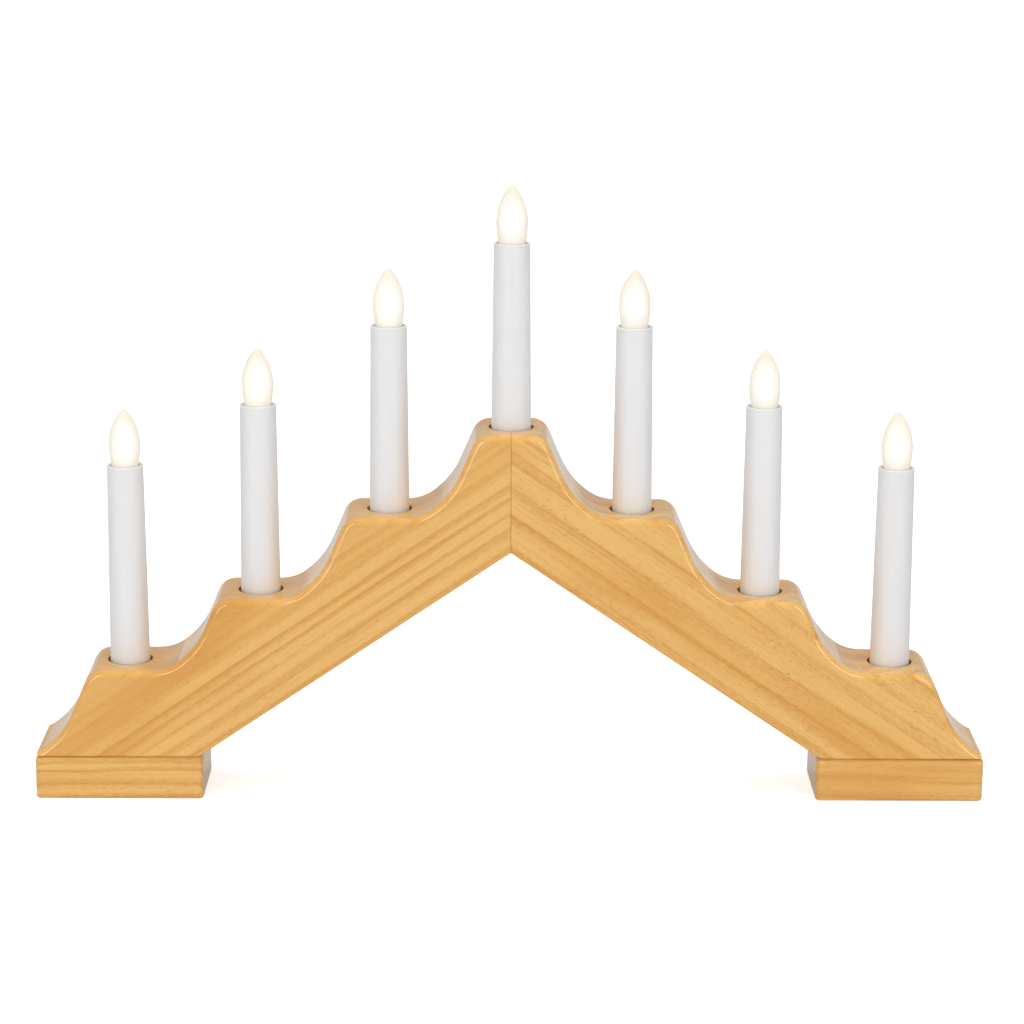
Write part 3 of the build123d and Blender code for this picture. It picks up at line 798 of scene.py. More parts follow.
class TwistedWires(GeometryTree):
    """Two insulated wires that rise side by side, draw together and twist, and part again at the top."""

    name = "twisted_wires"
    inputs = (
        ("First End", "NodeSocketVector", (0.0, 0.0, 0.0)),
        ("Second End", "NodeSocketVector", (0.0036, 0.0, 0.0)),
        ("Upper Height", "NodeSocketFloat", 0.1),
        ("Twists", "NodeSocketFloat", 4.0),
        ("Wire Radius", "NodeSocketFloat", 0.0009),
    )

    def build(self, sketch: NodeSketch, given: bpy.types.NodeOutputs) -> Socket:
        """Fill the tree: a line for each wire, turned about the pair's middle."""
        line = sketch.add("GeometryNodeMeshLine", mode="END_POINTS")
        for name, value in (("Count", 61), ("Offset", (0.0, 0.0, 1.0))):
            sketch.feed(line.inputs[name], value)
        curve = sketch.add("GeometryNodeMeshToCurve")
        sketch.feed(curve.inputs["Mesh"], line.outputs["Mesh"])
        share = sketch.add("GeometryNodeSplineParameter").outputs["Factor"]
        total = sketch.vector("ADD", given["First End"], given["Second End"])
        middle = sketch.vector("MULTIPLY", total, (0.5, 0.5, 0.0))
        across = sketch.vector("MULTIPLY", sketch.vector("SUBTRACT", given["Second End"], given["First End"]), (0.5, 0.5, 0.0))
        reach = sketch.vector("LENGTH", across)
        way = sketch.add("ShaderNodeSeparateXYZ")
        sketch.feed(way.inputs[0], across)
        start_turn = sketch.math("ARCTAN2", way.outputs["Y"], way.outputs["X"])
        from_middle = sketch.math("ABSOLUTE", sketch.less(sketch.times(share, 2.0), 1.0))
        drawn = sketch.less(1.0, sketch.math("POWER", from_middle, 6.0))
        together = sketch.times(sketch.less(reach, sketch.times(given["Wire Radius"], 1.03)), drawn)
        spread = sketch.less(reach, together)
        turn = sketch.plus(start_turn, sketch.times(sketch.times(share, math.tau), given["Twists"]))
        both = sketch.add("GeometryNodeJoinGeometry")
        for sign, end in ((-1.0, "First End"), (1.0, "Second End")):
            side = sketch.times(spread, sign)
            low = sketch.add("ShaderNodeSeparateXYZ")
            sketch.feed(low.inputs[0], given[end])
            climb = sketch.times(sketch.less(given["Upper Height"], low.outputs["Z"]), share)
            place = sketch.add("ShaderNodeCombineXYZ")
            sketch.feed(place.inputs["X"], sketch.times(side, sketch.math("COSINE", turn)))
            sketch.feed(place.inputs["Y"], sketch.times(side, sketch.math("SINE", turn)))
            sketch.feed(place.inputs["Z"], sketch.plus(low.outputs["Z"], climb))
            move = sketch.add("GeometryNodeSetPosition")
            sketch.feed(move.inputs["Geometry"], curve.outputs["Curve"])
            sketch.feed(move.inputs["Position"], sketch.vector("ADD", place.outputs[0], middle))
            section = sketch.add("GeometryNodeCurvePrimitiveCircle")
            sketch.feed(section.inputs["Resolution"], 12)
            sketch.feed(section.inputs["Radius"], given["Wire Radius"])
            tube = sketch.add("GeometryNodeCurveToMesh")
            sketch.feed(tube.inputs["Curve"], move.outputs["Geometry"])
            sketch.feed(tube.inputs["Profile Curve"], section.outputs["Curve"])
            sketch.feed(tube.inputs["Fill Caps"], True)
            sketch.feed(both.inputs["Geometry"], tube.outputs["Mesh"])
        return both.outputs["Geometry"]


class FilamentMount(GeometryTree):
    """A coiled filament between the tops of two support wires."""

    name = "filament_mount"
    inputs = (
        ("Foot", "NodeSocketVector", (0.0, 0.0, 0.0)),
        ("Foot Gap", "NodeSocketFloat", 0.002),
        ("Rise", "NodeSocketFloat", 0.01),
        ("Span", "NodeSocketFloat", 0.005),
        ("Coil Radius", "NodeSocketFloat", 0.0003),
        ("Turns", "NodeSocketFloat", 22.0),
        ("Wire Radius", "NodeSocketFloat", 0.0001),
        ("Coil Only", "NodeSocketBool", False),
    )

    def build(self, sketch: NodeSketch, given: bpy.types.NodeOutputs) -> Socket:
        """Fill the tree: a spiral laid along X, and a straight wire up to each of its ends."""
        def at(across: Socket, up: Socket | float) -> Socket:
            place = sketch.add("ShaderNodeCombineXYZ")
            sketch.feed(place.inputs["X"], across)
            sketch.feed(place.inputs["Z"], up)
            return sketch.vector("ADD", given["Foot"], place.outputs[0])

        def swept(curve: Socket, share: float) -> Socket:
            section = sketch.add("GeometryNodeCurvePrimitiveCircle")
            sketch.feed(section.inputs["Resolution"], 6)
            sketch.feed(section.inputs["Radius"], sketch.times(given["Wire Radius"], share))
            tube = sketch.add("GeometryNodeCurveToMesh")
            sketch.feed(tube.inputs["Curve"], curve)
            sketch.feed(tube.inputs["Profile Curve"], section.outputs["Curve"])
            sketch.feed(tube.inputs["Fill Caps"], True)
            return tube.outputs["Mesh"]

        spiral = sketch.add("GeometryNodeCurveSpiral")
        for name, value in (
            ("Resolution", 12), ("Rotations", given["Turns"]), ("Start Radius", given["Coil Radius"]),
            ("End Radius", given["Coil Radius"]), ("Height", given["Span"]),
        ):
            sketch.feed(spiral.inputs[name], value)
        lay = sketch.add("GeometryNodeTransform")
        sketch.feed(lay.inputs["Geometry"], spiral.outputs["Curve"])
        sketch.feed(lay.inputs["Rotation"], (0.0, math.pi / 2, 0.0))
        half_span = sketch.times(given["Span"], 0.5)
        sketch.feed(lay.inputs["Translation"], at(sketch.times(given["Span"], -0.5), given["Rise"]))
        wires = sketch.add("GeometryNodeJoinGeometry")
        for sign in (-1.0, 1.0):
            line = sketch.add("GeometryNodeCurvePrimitiveLine")
            foot = at(sketch.times(given["Foot Gap"], sign / 2), 0.0)
            sketch.feed(line.inputs["Start"], foot)
            sketch.feed(line.inputs["End"], at(sketch.times(half_span, sign), given["Rise"]))
            sketch.feed(wires.inputs["Geometry"], swept(line.outputs["Curve"], 1.6))
        choice = sketch.add("GeometryNodeSwitch", input_type="GEOMETRY")
        sketch.feed(choice.inputs["Switch"], given["Coil Only"])
        sketch.feed(choice.inputs["False"], wires.outputs["Geometry"])
        sketch.feed(choice.inputs["True"], swept(lay.outputs["Geometry"], 1.0))
        return choice.outputs["Output"]


class ScrewRow(GeometryTree):
    """Threaded wood screws, one at each of a row of places, as turned profiles with a helical ridge."""

    name = "screw_row"
    inputs = (
        ("First Place", "NodeSocketVector", (0.0, 0.0, 0.0)),
        ("Second Place", "NodeSocketVector", (0.0, 0.0, 0.0)),
        ("Shank Radius", "NodeSocketFloat", 0.002),
        ("Core Share", "NodeSocketFloat", 0.68),
        ("Length", "NodeSocketFloat", 0.0276),
        ("Plain Length", "NodeSocketFloat", 0.009),
        ("Point Length", "NodeSocketFloat", 0.004),
        ("Pitch", "NodeSocketFloat", 0.0018),
    )

    def build(self, sketch: NodeSketch, given: bpy.types.NodeOutputs) -> Socket:
        """Fill the tree: a wrapped grid with a sharp ridge, closed below and tapered to its point."""
        grid = sketch.add("GeometryNodeMeshGrid")
        for name, value in (("Size X", 1.0), ("Size Y", 1.0), ("Vertices X", 25), ("Vertices Y", 181)):
            sketch.feed(grid.inputs[name], value)
        split = sketch.add("ShaderNodeSeparateXYZ")
        sketch.feed(split.inputs[0], sketch.add("GeometryNodeInputPosition").outputs[0])
        turn = sketch.times(sketch.plus(split.outputs["X"], 0.5), math.tau)
        height = sketch.times(sketch.plus(split.outputs["Y"], 0.5), given["Length"])
        count = sketch.less(sketch.math("DIVIDE", height, given["Pitch"]), sketch.math("DIVIDE", turn, math.tau))
        flank = sketch.math("ABSOLUTE", sketch.less(sketch.math("FRACT", count), 0.5))
        ridge = sketch.less(1.0, sketch.times(flank, 5.0), clamp=True)
        threaded = sketch.math("GREATER_THAN", height, given["Plain Length"])
        core = sketch.times(given["Shank Radius"], given["Core Share"])
        depth = sketch.less(given["Shank Radius"], core)
        cut = sketch.plus(core, sketch.times(ridge, depth))
        plain = sketch.times(sketch.less(1.0, threaded), given["Shank Radius"])
        body = sketch.plus(plain, sketch.times(threaded, cut))
        left = sketch.less(given["Length"], height)
        taper = sketch.math("DIVIDE", left, given["Point Length"], clamp=True)
        radius = sketch.times(body, taper)
        place = sketch.add("ShaderNodeCombineXYZ")
        sketch.feed(place.inputs["X"], sketch.times(radius, sketch.math("COSINE", turn)))
        sketch.feed(place.inputs["Y"], sketch.times(radius, sketch.math("SINE", turn)))
        sketch.feed(place.inputs["Z"], height)
        wrap = sketch.add("GeometryNodeSetPosition")
        sketch.feed(wrap.inputs["Geometry"], grid.outputs["Mesh"])
        sketch.feed(wrap.inputs["Position"], place.outputs[0])
        weld = sketch.add("GeometryNodeMergeByDistance")
        sketch.feed(weld.inputs["Geometry"], wrap.outputs["Geometry"])
        sketch.feed(weld.inputs["Distance"], WELD_DISTANCE)
        both = sketch.add("GeometryNodeJoinGeometry")
        for name in ("First Place", "Second Place"):
            move = sketch.add("GeometryNodeTransform")
            sketch.feed(move.inputs["Geometry"], weld.outputs["Geometry"])
            sketch.feed(move.inputs["Translation"], given[name])
            sketch.feed(both.inputs["Geometry"], move.outputs["Geometry"])
        return both.outputs["Geometry"]


def lathe(name: str, outline: Sequence[tuple[float, float]], place: Vector, segments: int = 48) -> bpy.types.Object:
    """Turn an outline round a vertical axis into a closed mesh.

    Args:
        name: The name of the result.
        outline: Radii and heights from the axis at one end to the axis at the other.
        place: The axis and the zero height.
        segments: Steps round the axis.

    Returns:
        The mesh object, with normals outward.
    """
    shape = bmesh.new()
    rings: list[list[bmesh.types.BMVert]] = []
    for radius, height in outline:
        count = 1 if radius == 0.0 else segments
        rings.append([
            shape.verts.new(place + Vector((
                radius * math.cos(math.tau * step / segments), radius * math.sin(math.tau * step / segments), height)))
            for step in range(count)
        ])
    for lower, upper in zip(rings, rings[1:]):
        for step in range(segments):
            after = (step + 1) % segments
            corners = [
                lower[step % len(lower)], lower[after % len(lower)], upper[after % len(upper)], upper[step % len(upper)]
            ]
            unique = list(dict.fromkeys(corners))
            if len(unique) > 2:
                shape.faces.new(unique)
    bmesh.ops.recalc_face_normals(shape, faces=shape.faces)
    return mesh_object(name, shape)


def mesh_object(name: str, shape: bmesh.types.BMesh, smooth_angle: float = 35.0) -> bpy.types.Object:
    """Make an object of a bmesh and free it.

    Args:
        name: The object's name.
        shape: The finished bmesh.
        smooth_angle: Edges flatter than this are shaded smooth.

    Returns:
        The object, at the origin.
    """
    mesh = bpy.data.meshes.new(name)
    shape.to_mesh(mesh)
    shape.free()
    for polygon in mesh.polygons:
        polygon.use_smooth = True
    mesh.set_sharp_from_angle(angle=math.radians(smooth_angle))
    result = bpy.data.objects.new(name, mesh)
    bpy.context.scene.collection.objects.link(result)
    return result


def finish_piece(piece: bpy.types.Object, material: bpy.types.Material, slot: str, body: str, *nodes: str) -> None:
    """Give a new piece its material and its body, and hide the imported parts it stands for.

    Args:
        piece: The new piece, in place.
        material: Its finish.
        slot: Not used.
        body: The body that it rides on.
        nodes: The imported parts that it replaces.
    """
    piece.data.materials.clear()
    piece.data.materials.append(material)
    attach(piece, body)
    if nodes:
        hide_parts(*nodes)
    log.info("made %s, %d faces, on %s", piece.name, len(piece.data.polygons), body)


def islands(shape: bmesh.types.BMesh) -> list[list[bmesh.types.BMVert]]:
    """Vertices of each loose part of a mesh."""
    found: list[list[bmesh.types.BMVert]] = []
    seen: set[bmesh.types.BMVert] = set()
    for start in shape.verts:
        if start in seen:
            continue
        seen.add(start)
        front, island = [start], [start]
        while front:
            vert = front.pop()
            fresh = [edge.other_vert(vert) for edge in vert.link_edges if edge.other_vert(vert) not in seen]
            seen.update(fresh)
            front.extend(fresh)
            island.extend(fresh)
        found.append(list(dict.fromkeys(island)))
    return found


def welded(node: str) -> bmesh.types.BMesh:
    """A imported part's mesh with its triangles joined at their corners."""
    shape = bmesh.new()
    shape.from_mesh(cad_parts[node].data)
    bmesh.ops.remove_doubles(shape, verts=shape.verts, dist=WELD_DISTANCE)
    return shape


def loose_parts(node: str) -> list[list[Vector]]:
    """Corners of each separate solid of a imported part."""
    shape = welded(node)
    corners = [[vert.co.copy() for vert in island] for island in islands(shape)]
    shape.free()
    return corners


def corner_boxes(node: str) -> list[tuple[Vector, Vector]]:
    """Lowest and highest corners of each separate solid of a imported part, from left to right, front first."""
    boxes = [
        (Vector(min(corner[axis] for corner in part) for axis in range(3)),
         Vector(max(corner[axis] for corner in part) for axis in range(3)))
        for part in loose_parts(node)
    ]
    return sorted(boxes, key=lambda box: (round(box[0].x + box[1].x, 6), box[0].y))


def part_without(node: str, name: str, left_out: Sequence[Vector]) -> bpy.types.Object:
    """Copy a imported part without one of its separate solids.

    Args:
        node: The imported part.
        name: The copy's name.
        left_out: Corners of the solid to leave out.

    Returns:
        The copy.
    """
    shape = welded(node)
    unwanted = {tuple(round(value, 7) for value in corner) for corner in left_out}
    gone = [vert for vert in shape.verts if tuple(round(value, 7) for value in vert.co) in unwanted]
    bmesh.ops.delete(shape, geom=gone, context="VERTS")
    return mesh_object(name, shape)


@dataclass
class WoodenFrame:
    """The two stepped boards, their feet, dowels, screws, cover strips and tacks."""

    shop: Workshop
    slope: float = 34.3
    timber: dict[Part, TimberFinish] = field(default_factory=dict)
    screw_head_radius: float = 4.0 * MM
    screw_head_height: float = 2.4 * MM
    recess_reach: float = 2.4 * MM
    recess_depth: float = 1.5 * MM
    recess_width: float = 1.0 * MM

    def __post_init__(self) -> None:
        """Choose the cut of timber of each piece."""
        self.timber = {
            Part.LEFT_BOARD: TimberFinish(
                "pine_left_board", self.slope, 4.8, 20.0, 60.0, 0.9, 3.0, contrast=0.95, calm_from=126.0, calm_to=132.0,
                fibre=1.2, mitre_line=0.6,
            ),
            Part.RIGHT_BOARD: TimberFinish(
                "pine_right_board", -self.slope, 7.4, 30.0, 70.0, 1.3, 9.0, contrast=0.8, fibre=1.7, flecks=1.4,
                mitre_line=0.6,
            ),
            Part.LEFT_FOOT: TimberFinish("pine_left_foot", 0.5, 3.6, 60.0, 35.0, 1.4, 14.0, contrast=0.9, fibre=1.4),
            Part.RIGHT_FOOT: TimberFinish("pine_right_foot", -0.8, 5.0, 54.0, 30.0, 1.8, 21.0, contrast=0.8, fibre=1.4),
        }

    def dress_wood(self) -> None:
        """Give the wooden pieces their finishes."""
        for part, finish in self.timber.items():
            dress(part.value, finish.build(self.shop))
        dowel = TimberFinish(
            "beech_dowel", 0.0, 1.8, 20.0, 12.0, 0.3, 5.0, contrast=0.35, early=(0.63, 0.42, 0.24),
            late=(0.5, 0.3, 0.15), warm=(0.55, 0.35, 0.18), lacquer=0.0, roughness=0.65,
        )
        dress("mitre_dowels", dowel.build(self.shop))
        strip = TimberFinish(
            "cover_strip_wood", 0.0, 2.6, 60.0, 30.0, 0.6, 11.0, contrast=0.5, early=(0.62, 0.37, 0.15),
            late=(0.45, 0.23, 0.07), warm=(0.5, 0.27, 0.09), lacquer=0.0, roughness=0.7,
        )
        dress("groove_covers", strip.build(self.shop))

    def screws(self) -> None:
        """Make the threaded foot screws with their countersunk cross-recessed heads."""
        zinc = MetalFinish("zinc_screw", (0.72, 0.69, 0.62), (0.5, 0.48, 0.42), 0.22, 0.42).build(self.shop)
        tree = ScrewRow()
        boxes = corner_boxes("foot_screws")
        for side, (first, second) in (("left", boxes[:2]), ("right", boxes[2:])):
            places = [Vector(((low.x + high.x) / 2, (low.y + high.y) / 2, low.z)) for low, high in (first, second)]
            starts = [place + Vector((0.0, 0.0, self.screw_head_height * 0.6)) for place in places]
            length = first[1].z - starts[0].z
            shanks = tree.make(f"{side}_screw_shanks", zinc, First_Place=starts[0], Second_Place=starts[1], Length=length)
            shape = bmesh.new()
            shape.from_mesh(shanks.data)
            bpy.data.objects.remove(shanks)
            for place in places:
                self.add_head(shape, place)
            piece = mesh_object(f"{side}_foot_screws", shape)
            if side == "left":
                finish_piece(piece, zinc, "screw_steel", "root", "foot_screws")
            else:
                finish_piece(piece, zinc, "screw_steel", "root")

    def add_head(self, shape: bmesh.types.BMesh, place: Vector, segments: int = 48) -> None:
        """Add a countersunk head with a cross recess.

        Args:
            shape: The bmesh that takes the head.
            place: The centre of the head's flat face, which looks down.
            segments: Steps round the head; a multiple of eight.
        """
        arm = self.recess_width / 2
        cross: list[tuple[float, float]] = []
        for quarter in range(4):
            turn = math.tau * quarter / 4
            for x, y in ((self.recess_reach, -arm), (self.recess_reach, arm), (arm, arm)):
                cross.append((
                    x * math.cos(turn) - y * math.sin(turn), x * math.sin(turn) + y * math.cos(turn)))
        rim = [
            shape.verts.new(place + Vector((
                self.screw_head_radius * math.cos(math.tau * (step - 0.5) / segments),
                self.screw_head_radius * math.sin(math.tau * (step - 0.5) / segments), 0.0)))
            for step in range(segments)
        ]
        mouth = [shape.verts.new(place + Vector((x, y, 0.0))) for x, y in cross]
        floor = [
            shape.verts.new(place + Vector((0.62 * x, 0.62 * y, self.recess_depth))) for x, y in cross
        ]
        neck_radius = 2.0 * MM
        neck = [
            shape.verts.new(place + Vector((
                neck_radius * math.cos(math.tau * (step - 0.5) / segments),
                neck_radius * math.sin(math.tau * (step - 0.5) / segments), self.screw_head_height)))
            for step in range(segments)
        ]
        new_faces = []
        edges = [shape.edges.new(pair) for ring in (rim, mouth) for pair in zip(ring, ring[1:] + ring[:1])]
        filled = bmesh.ops.triangle_fill(shape, edges=edges, use_beauty=True)
        new_faces += [item for item in filled["geom"] if isinstance(item, bmesh.types.BMFace)]
        inside = {vert for vert in mouth}
        stray = [face for face in new_faces if all(vert in inside for vert in face.verts)]
        bmesh.ops.delete(shape, geom=stray, context="FACES_ONLY")
        new_faces = [face for face in new_faces if face.is_valid]
        for lower, upper in ((mouth, floor), (rim, neck)):
            count = len(lower)
            for step in range(count):
                after = (step + 1) % count
                new_faces.append(shape.faces.new((lower[step], lower[after], upper[after], upper[step])))
        new_faces.append(shape.faces.new(floor))
        new_faces.append(shape.faces.new(neck))
        bmesh.ops.recalc_face_normals(shape, faces=new_faces)

    def tacks(self) -> None:
        """Give the round-headed tacks that hold the cover strips their steel finish."""
        steel = MetalFinish("tack_wire", (0.62, 0.62, 0.63), (0.42, 0.41, 0.4), 0.25, 0.5).build(self.shop)
        dress("cover_tacks", steel)

    def build(self) -> None:
        """Dress and make everything of the frame."""
        self.dress_wood()
        self.screws()
        self.tacks()


@dataclass
class Wiring:
    """The wires in the groove, the pair up each tube, and the bush that the cord comes in by."""

    shop: Workshop
    lamps: Sequence[Lamp]
    twists: float = 4.0
    wire_radius: float = 0.9 * MM

    def build(self) -> None:
        """Dress the wires and make the twisted pairs."""
        jacket = PlasticFinish("wire_jacket", (0.8, 0.8, 0.78), (0.72, 0.72, 0.7), 0.4, 0.55, texture_mm=0.3).build(self.shop)
        dress("groove_wires", jacket)
        bush = PlasticFinish("bush_nylon", (0.83, 0.81, 0.75), (0.74, 0.71, 0.64), 0.35, 0.5, texture_mm=0.4).build(self.shop)
        dress("cord_bush", bush)
        tree = TwistedWires()
        for lamp in self.lamps:
            node = f"riser_wires_{lamp.number}"
            ends = corner_boxes(node)
            feet = [Vector(((low.x + high.x) / 2, (low.y + high.y) / 2, low.z)) for low, high in ends]
            top = max(high.z for _, high in ends)
            pair = tree.make(
                f"twisted_pair_{lamp.number}", jacket, First_End=feet[0], Second_End=feet[1], Upper_Height=top,
                Twists=self.twists, Wire_Radius=self.wire_radius,
            )
            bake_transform(pair)
            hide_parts(node)
            log.info("made %s", pair.name)


@dataclass
class CandleLamps:
    """The seven tubes with their seats, lampholders, contacts and bulbs."""

    shop: Workshop
    lamps: Sequence[Lamp]
    rim_to_cap: float = 4.5 * MM
    cap_length: float = 9.5 * MM
    cap_radius: float = 4.7 * MM
    cap_wall: float = 0.3 * MM
    cap_base_radius: float = 2.6 * MM
    thread_pitch: float = 1.814 * MM
    thread_depth: float = 0.35 * MM
    thread_clearance: float = 0.15 * MM
    filament_rise: float = 9.4 * MM
    filament_span: float = 4.6 * MM
    stem_radius: float = 2.0 * MM
    stem_height: float = 9.0 * MM
    finishes: dict[str, bpy.types.Material] = field(default_factory=dict)

    def mix_finishes(self) -> None:
        """Make the finishes that the lamps share."""
        shop = self.shop
        self.finishes = {
            "tube": PlasticFinish(
                "candle_tube_white", (0.80, 0.80, 0.805), (0.78, 0.78, 0.79), 0.30, 0.36, texture_mm=1.6,
                relief_mm=0.003, coat=0.15,
            ).build(shop),
            "holder": PlasticFinish("lampholder_white", (0.76, 0.75, 0.70), (0.70, 0.69, 0.63), 0.4, 0.55).build(shop),
            "seat": PlasticFinish("seat_white", (0.78, 0.78, 0.76), (0.7, 0.7, 0.68), 0.4, 0.55).build(shop),
            "contact": MetalFinish("contact_brass", (0.83, 0.62, 0.28), (0.62, 0.43, 0.17), 0.2, 0.4).build(shop),
            "cap": MetalFinish("cap_nickel_brass", (0.80, 0.70, 0.48), (0.62, 0.52, 0.33), 0.16, 0.36).build(shop),
            "solder": MetalFinish("tip_solder", (0.66, 0.66, 0.66), (0.46, 0.46, 0.47), 0.3, 0.55).build(shop),
            "support": MetalFinish("support_wire", (0.66, 0.64, 0.6), (0.5, 0.48, 0.44), 0.3, 0.5).build(shop),
            # The glass stem is no lamp: its faint emission is a painted glow that stands in for the filament's light on
            # it
            "stem": Glow("stem_glass_painted_glow", (0.9, 0.86, 0.8), 0.2).build(),
            "glow": Glow("filament_glow", (1.0, 0.86, 0.62), 8.0).build(),
        }

    def threads(self, lamp: Lamp, sleeve: ThreadedSleeve) -> None:
        """Make the threaded screw cap of one bulb.

        Args:
            lamp: The lamp.
            sleeve: The thread's tree.
        """
        base = Vector((lamp.x, 0.0, lamp.rim - self.rim_to_cap - self.cap_length))
        taper = 1.5 * MM
        cap = sleeve.make(
            f"threaded_cap_{lamp.number}_shell", self.finishes["cap"], Place=base + Vector((0.0, 0.0, taper)),
            Radius=self.cap_radius, Length=self.cap_length - taper, Pitch=self.thread_pitch,
            Thread_Depth=self.thread_depth, Wall=self.cap_wall,
        )
        shape = bmesh.new()
        shape.from_mesh(cap.data)
        bpy.data.objects.remove(cap)
        wide = self.cap_radius - self.thread_depth / 2
        floor = lathe(
            "cap_floor", (
                (0.0, 0.0), (self.cap_base_radius, 0.0), (wide - 0.5 * MM, taper * 0.75), (wide, taper),
                (wide - self.cap_wall, taper + 0.1 * MM), (wide - 0.8 * MM, taper), (self.cap_base_radius, 0.4 * MM),
                (0.0, 0.4 * MM),
            ), base,
        )
        shape.from_mesh(floor.data)
        bpy.data.objects.remove(floor)
        piece = mesh_object(f"threaded_cap_{lamp.number}", shape)
        finish_piece(piece, self.finishes["cap"], "cap_brass", lamp.bulb_body, f"bulb_cap_{lamp.number}")

    def contacts(self, lamp: Lamp, sleeve: ThreadedSleeve) -> None:
        """Make the threaded shell and the sprung contact of one lampholder.

        Args:
            lamp: The lamp.
            sleeve: The thread's tree.
        """
        node = f"socket_contacts_{lamp.number}"
        _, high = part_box(node)
        parts = loose_parts(node)
        tallest = max(parts, key=lambda part: max(corner.z for corner in part) - min(corner.z for corner in part))
        shell_low = min(corner.z for corner in tallest)
        inner = self.cap_radius + self.thread_clearance
        shell = sleeve.make(
            f"threaded_shell_{lamp.number}", self.finishes["contact"], Place=Vector((lamp.x, 0.0, shell_low)),
            Radius=inner + self.cap_wall, Length=high.z - shell_low, Pitch=self.thread_pitch,
            Thread_Depth=self.thread_depth, End_Swell=0.0, Wall=self.cap_wall,
        )
        finish_piece(shell, self.finishes["contact"], "contact_brass", lamp.tube_body, node)
        spring = part_without(node, f"centre_contact_{lamp.number}", tallest)
        finish_piece(spring, self.finishes["contact"], "contact_brass", lamp.tube_body)

    def inside(self, lamp: Lamp, mount: FilamentMount) -> None:
        """Make the glass stem, the support wires and the coiled filament of one bulb.

        Args:
            lamp: The lamp.
            mount: The tree of the filament and its supports.
        """
        foot = Vector((lamp.x, 0.0, lamp.rim - self.rim_to_cap + 0.5 * MM))
        height = self.stem_height
        stem = lathe(f"glass_stem_{lamp.number}", (
            (0.0, 0.0), (self.stem_radius, 0.0), (self.stem_radius, 0.35 * height), (0.45 * self.stem_radius, 0.6 * height),
            (0.4 * self.stem_radius, 0.95 * height), (0.3 * self.stem_radius, height), (0.0, height),
        ), foot, 24)
        finish_piece(stem, self.finishes["stem"], "lit_glass", lamp.bulb_body)
        rise = self.filament_rise + self.rim_to_cap - 0.5 * MM - 0.8 * height
        for name, finish, slot, coil in (
            ("support_wires", "support", "contact_brass", False), ("filament", "glow", "lit_glass", True)
        ):
            piece = mount.make(
                f"{name}_{lamp.number}", self.finishes[finish], Foot=foot + Vector((0.0, 0.0, 0.8 * height)),
                Foot_Gap=0.5 * self.stem_radius, Rise=rise, Span=self.filament_span, Coil_Only=coil,
            )
            finish_piece(piece, self.finishes[finish], slot, lamp.bulb_body)

    def build(self) -> None:
        """Dress and make everything of the lamps."""
        self.mix_finishes()
        sleeve = ThreadedSleeve()
        mount = FilamentMount()
        dress("tube_seats", self.finishes["seat"])
        glass = FrostedGlass(
            "frosted_glass", (0.75, 0.65, 0.57), (0.34, 0.37, 0.42), (0.17, 0.20, 0.165), 0.3, 0.5, self.filament_rise,
            7.1, 13.8,
        )
        for lamp in self.lamps:
            dress(f"candle_tube_{lamp.number}", self.finishes["tube"])
            dress(f"lampholder_{lamp.number}", self.finishes["holder"])
            dress(f"bulb_tip_{lamp.number}", self.finishes["solder"])
            dress(f"bulb_glass_{lamp.number}", glass.build(self.shop, lamp.x, lamp.rim))
            self.contacts(lamp, sleeve)
            self.threads(lamp, sleeve)
            self.inside(lamp, mount)


@dataclass(frozen=True)
class Softbox:
    """One rectangular lamp of the studio, aimed at the arch."""

    name: str
    azimuth: float
    elevation: float
    distance: float
    size: tuple[float, float]
    power: float
    lean: float = 0.0
    mirrored: bool = True
    colour: Colour = (1.0, 1.0, 1.0)

    def hang(self, target: Vector) -> None:
        """Hang the lamp on a sphere round the target; azimuth 0 is the front, and grows to the right.

        Args:
            target: The point that the lamp is aimed at.
        """
        light = bpy.data.lights.new(self.name, "AREA")
        light.shape = "RECTANGLE"
        light.size, light.size_y = self.size
        light.energy = self.power
        light.color = self.colour
        lamp = bpy.data.objects.new(self.name, light)
        azimuth, elevation = math.radians(self.azimuth), math.radians(self.elevation)
        away = Vector((
            math.sin(azimuth) * math.cos(elevation), -math.cos(azimuth) * math.cos(elevation), math.sin(elevation)))
        lamp.location = target + away * self.distance
        aim = away.to_track_quat("Z", "Y")
        lamp.rotation_euler = (aim @ Quaternion((0.0, 0.0, 1.0), -math.radians(self.lean))).to_euler()
        lamp.visible_glossy = self.mirrored
        bpy.context.scene.collection.objects.link(lamp)


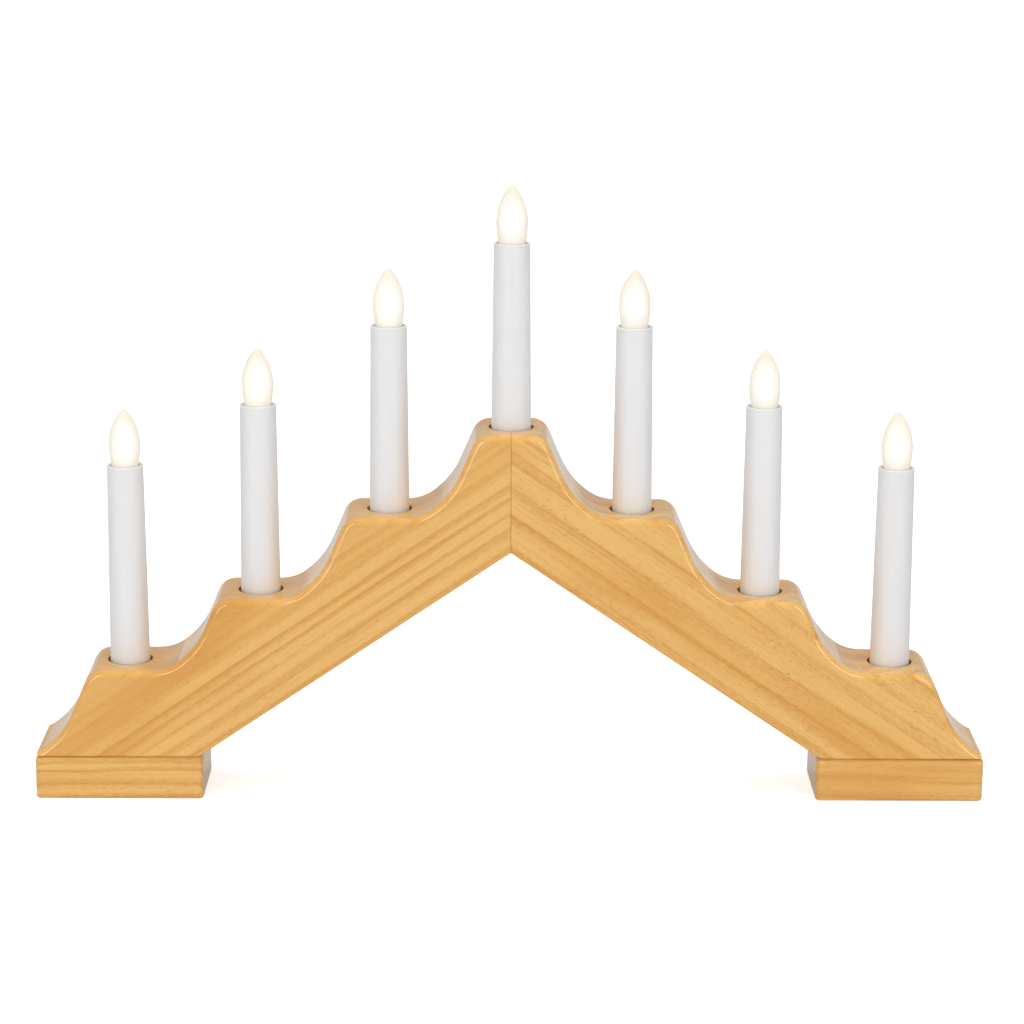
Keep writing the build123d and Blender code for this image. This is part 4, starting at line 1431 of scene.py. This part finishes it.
@dataclass(frozen=True)
class Studio:
    """Pale floor, soft lamps and the camera at the photograph's angle."""

    floor_radius: float = 9.0
    floor_colour: Colour = (0.86, 0.86, 0.86)
    floor_lift: float = 0.67
    floor_gap: float = 0.05 * MM
    sky_light: float = 0.32
    mirrored_white: float = 0.5
    mirrored_floor: float = 0.4
    camera_place_mm: tuple[float, float, float] = (-5.397, -1307.509, 468.982)
    pitch: float = 14.545
    yaw: float = -0.261
    roll: float = 0.281
    focal_pixels: float = 3000.0
    picture_pixels: float = 1024.0
    sensor: float = 36.0
    lamps: tuple[Softbox, ...] = (
        Softbox("left_strip", -32.0, 13.0, 2.2, (0.52, 1.8), 14.1, lean=20.0),
        Softbox("right_strip", 33.0, 13.0, 2.2, (0.42, 1.7), 11.1, lean=-20.0),
        Softbox("upper_softbox", -10.0, 85.0, 2.4, (2.6, 1.6), 45.0, mirrored=False),
    )

    def seen(self, sketch: NodeSketch) -> Socket:
        """One for camera and transmission rays, less for glossy rays, and zero for the rest."""
        path = sketch.add("ShaderNodeLightPath")
        mirrored = sketch.times(path.outputs["Is Glossy Ray"], self.mirrored_white)
        total = sketch.plus(path.outputs["Is Camera Ray"], mirrored)
        return sketch.plus(total, path.outputs["Is Transmission Ray"], clamp=True)

    def lay_floor(self) -> None:
        """Lay a round floor that shows white and keeps the object's shadow."""
        shape = bmesh.new()
        bmesh.ops.create_circle(shape, cap_ends=True, segments=96, radius=self.floor_radius)
        bmesh.ops.translate(shape, verts=shape.verts, vec=(0.0, 0.0, -self.floor_gap))
        floor = mesh_object("floor", shape)
        material, sketch, shader = new_material("pale_floor")
        path = sketch.add("ShaderNodeLightPath")
        dimmed = tuple(self.mirrored_floor * value for value in self.floor_colour)
        paint = sketch.mix(path.outputs["Is Glossy Ray"], (*self.floor_colour, 1.0), (*dimmed, 1.0))
        sketch.feed(shader.inputs["Base Color"], paint)
        shader.inputs["Roughness"].default_value = 0.9
        shader.inputs["Specular IOR Level"].default_value = 0.0
        white = sketch.add("ShaderNodeEmission")
        white.inputs["Color"].default_value = (1.0, 1.0, 1.0, 1.0)
        place = sketch.add("ShaderNodeTexCoord")
        far = sketch.vector("LENGTH", place.outputs["Object"])
        outer = sketch.spread(far, 0.45, 1.5, self.floor_lift, 1.0)
        sketch.feed(white.inputs["Strength"], sketch.times(outer, self.seen(sketch)))
        both = sketch.add("ShaderNodeAddShader")
        sketch.feed(both.inputs[0], shader.outputs[0])
        sketch.feed(both.inputs[1], white.outputs[0])
        output = next(node for node in material.node_tree.nodes if node.type == "OUTPUT_MATERIAL")
        sketch.feed(output.inputs["Surface"], both.outputs[0])
        floor.data.materials.append(material)
        log.info("laid the floor")

    def light(self) -> None:
        """Hang the lamps and set the sky."""
        centre = Vector((0.0, 0.0, 0.12))
        for lamp in self.lamps:
            lamp.hang(centre)
        world = bpy.data.worlds.new("studio")
        bpy.context.scene.world = world
        world.use_nodes = True
        sketch = NodeSketch(world.node_tree)
        back = world.node_tree.nodes["Background"]
        back.inputs["Color"].default_value = (1.0, 1.0, 1.0, 1.0)
        sketch.feed(back.inputs["Strength"], sketch.math("MAXIMUM", self.seen(sketch), self.sky_light))

    def place_camera(self) -> None:
        """Set the camera at the photograph's viewing angle."""
        camera_data = bpy.data.cameras.new("camera")
        camera_data.sensor_width = self.sensor
        camera_data.lens = self.focal_pixels / self.picture_pixels * self.sensor
        camera = bpy.data.objects.new("camera", camera_data)
        pitch, yaw, roll = (math.radians(angle) for angle in (self.pitch, self.yaw, self.roll))
        forward = Vector((-math.sin(yaw) * math.cos(pitch), math.cos(yaw) * math.cos(pitch), -math.sin(pitch)))
        level = Vector((math.cos(yaw), math.sin(yaw), 0.0))
        upright = level.cross(forward)
        right = level * math.cos(roll) + upright * math.sin(roll)
        up = upright * math.cos(roll) - level * math.sin(roll)
        turn = Matrix((right, up, -forward)).transposed().to_4x4()
        place = Vector(self.camera_place_mm) * MM
        camera.matrix_world = Matrix.Translation(place) @ turn
        bpy.context.scene.collection.objects.link(camera)
        bpy.context.scene.camera = camera

    def build(self) -> None:
        """Set up the studio."""
        self.lay_floor()
        self.light()
        self.place_camera()
        bpy.context.scene.view_settings.view_transform = "Standard"


def main() -> None:
    """Build the dressed arch and its studio."""
    logging.basicConfig(level=logging.INFO, format="%(name)s: %(message)s")
    shop = Workshop()
    lamps = [Lamp.read(number) for number in range(1, LAMP_COUNT + 1)]
    WoodenFrame(shop).build()
    Wiring(shop, lamps).build()
    CandleLamps(shop, lamps).build()
    Studio().build()


if __name__ == "__main__":
    main()
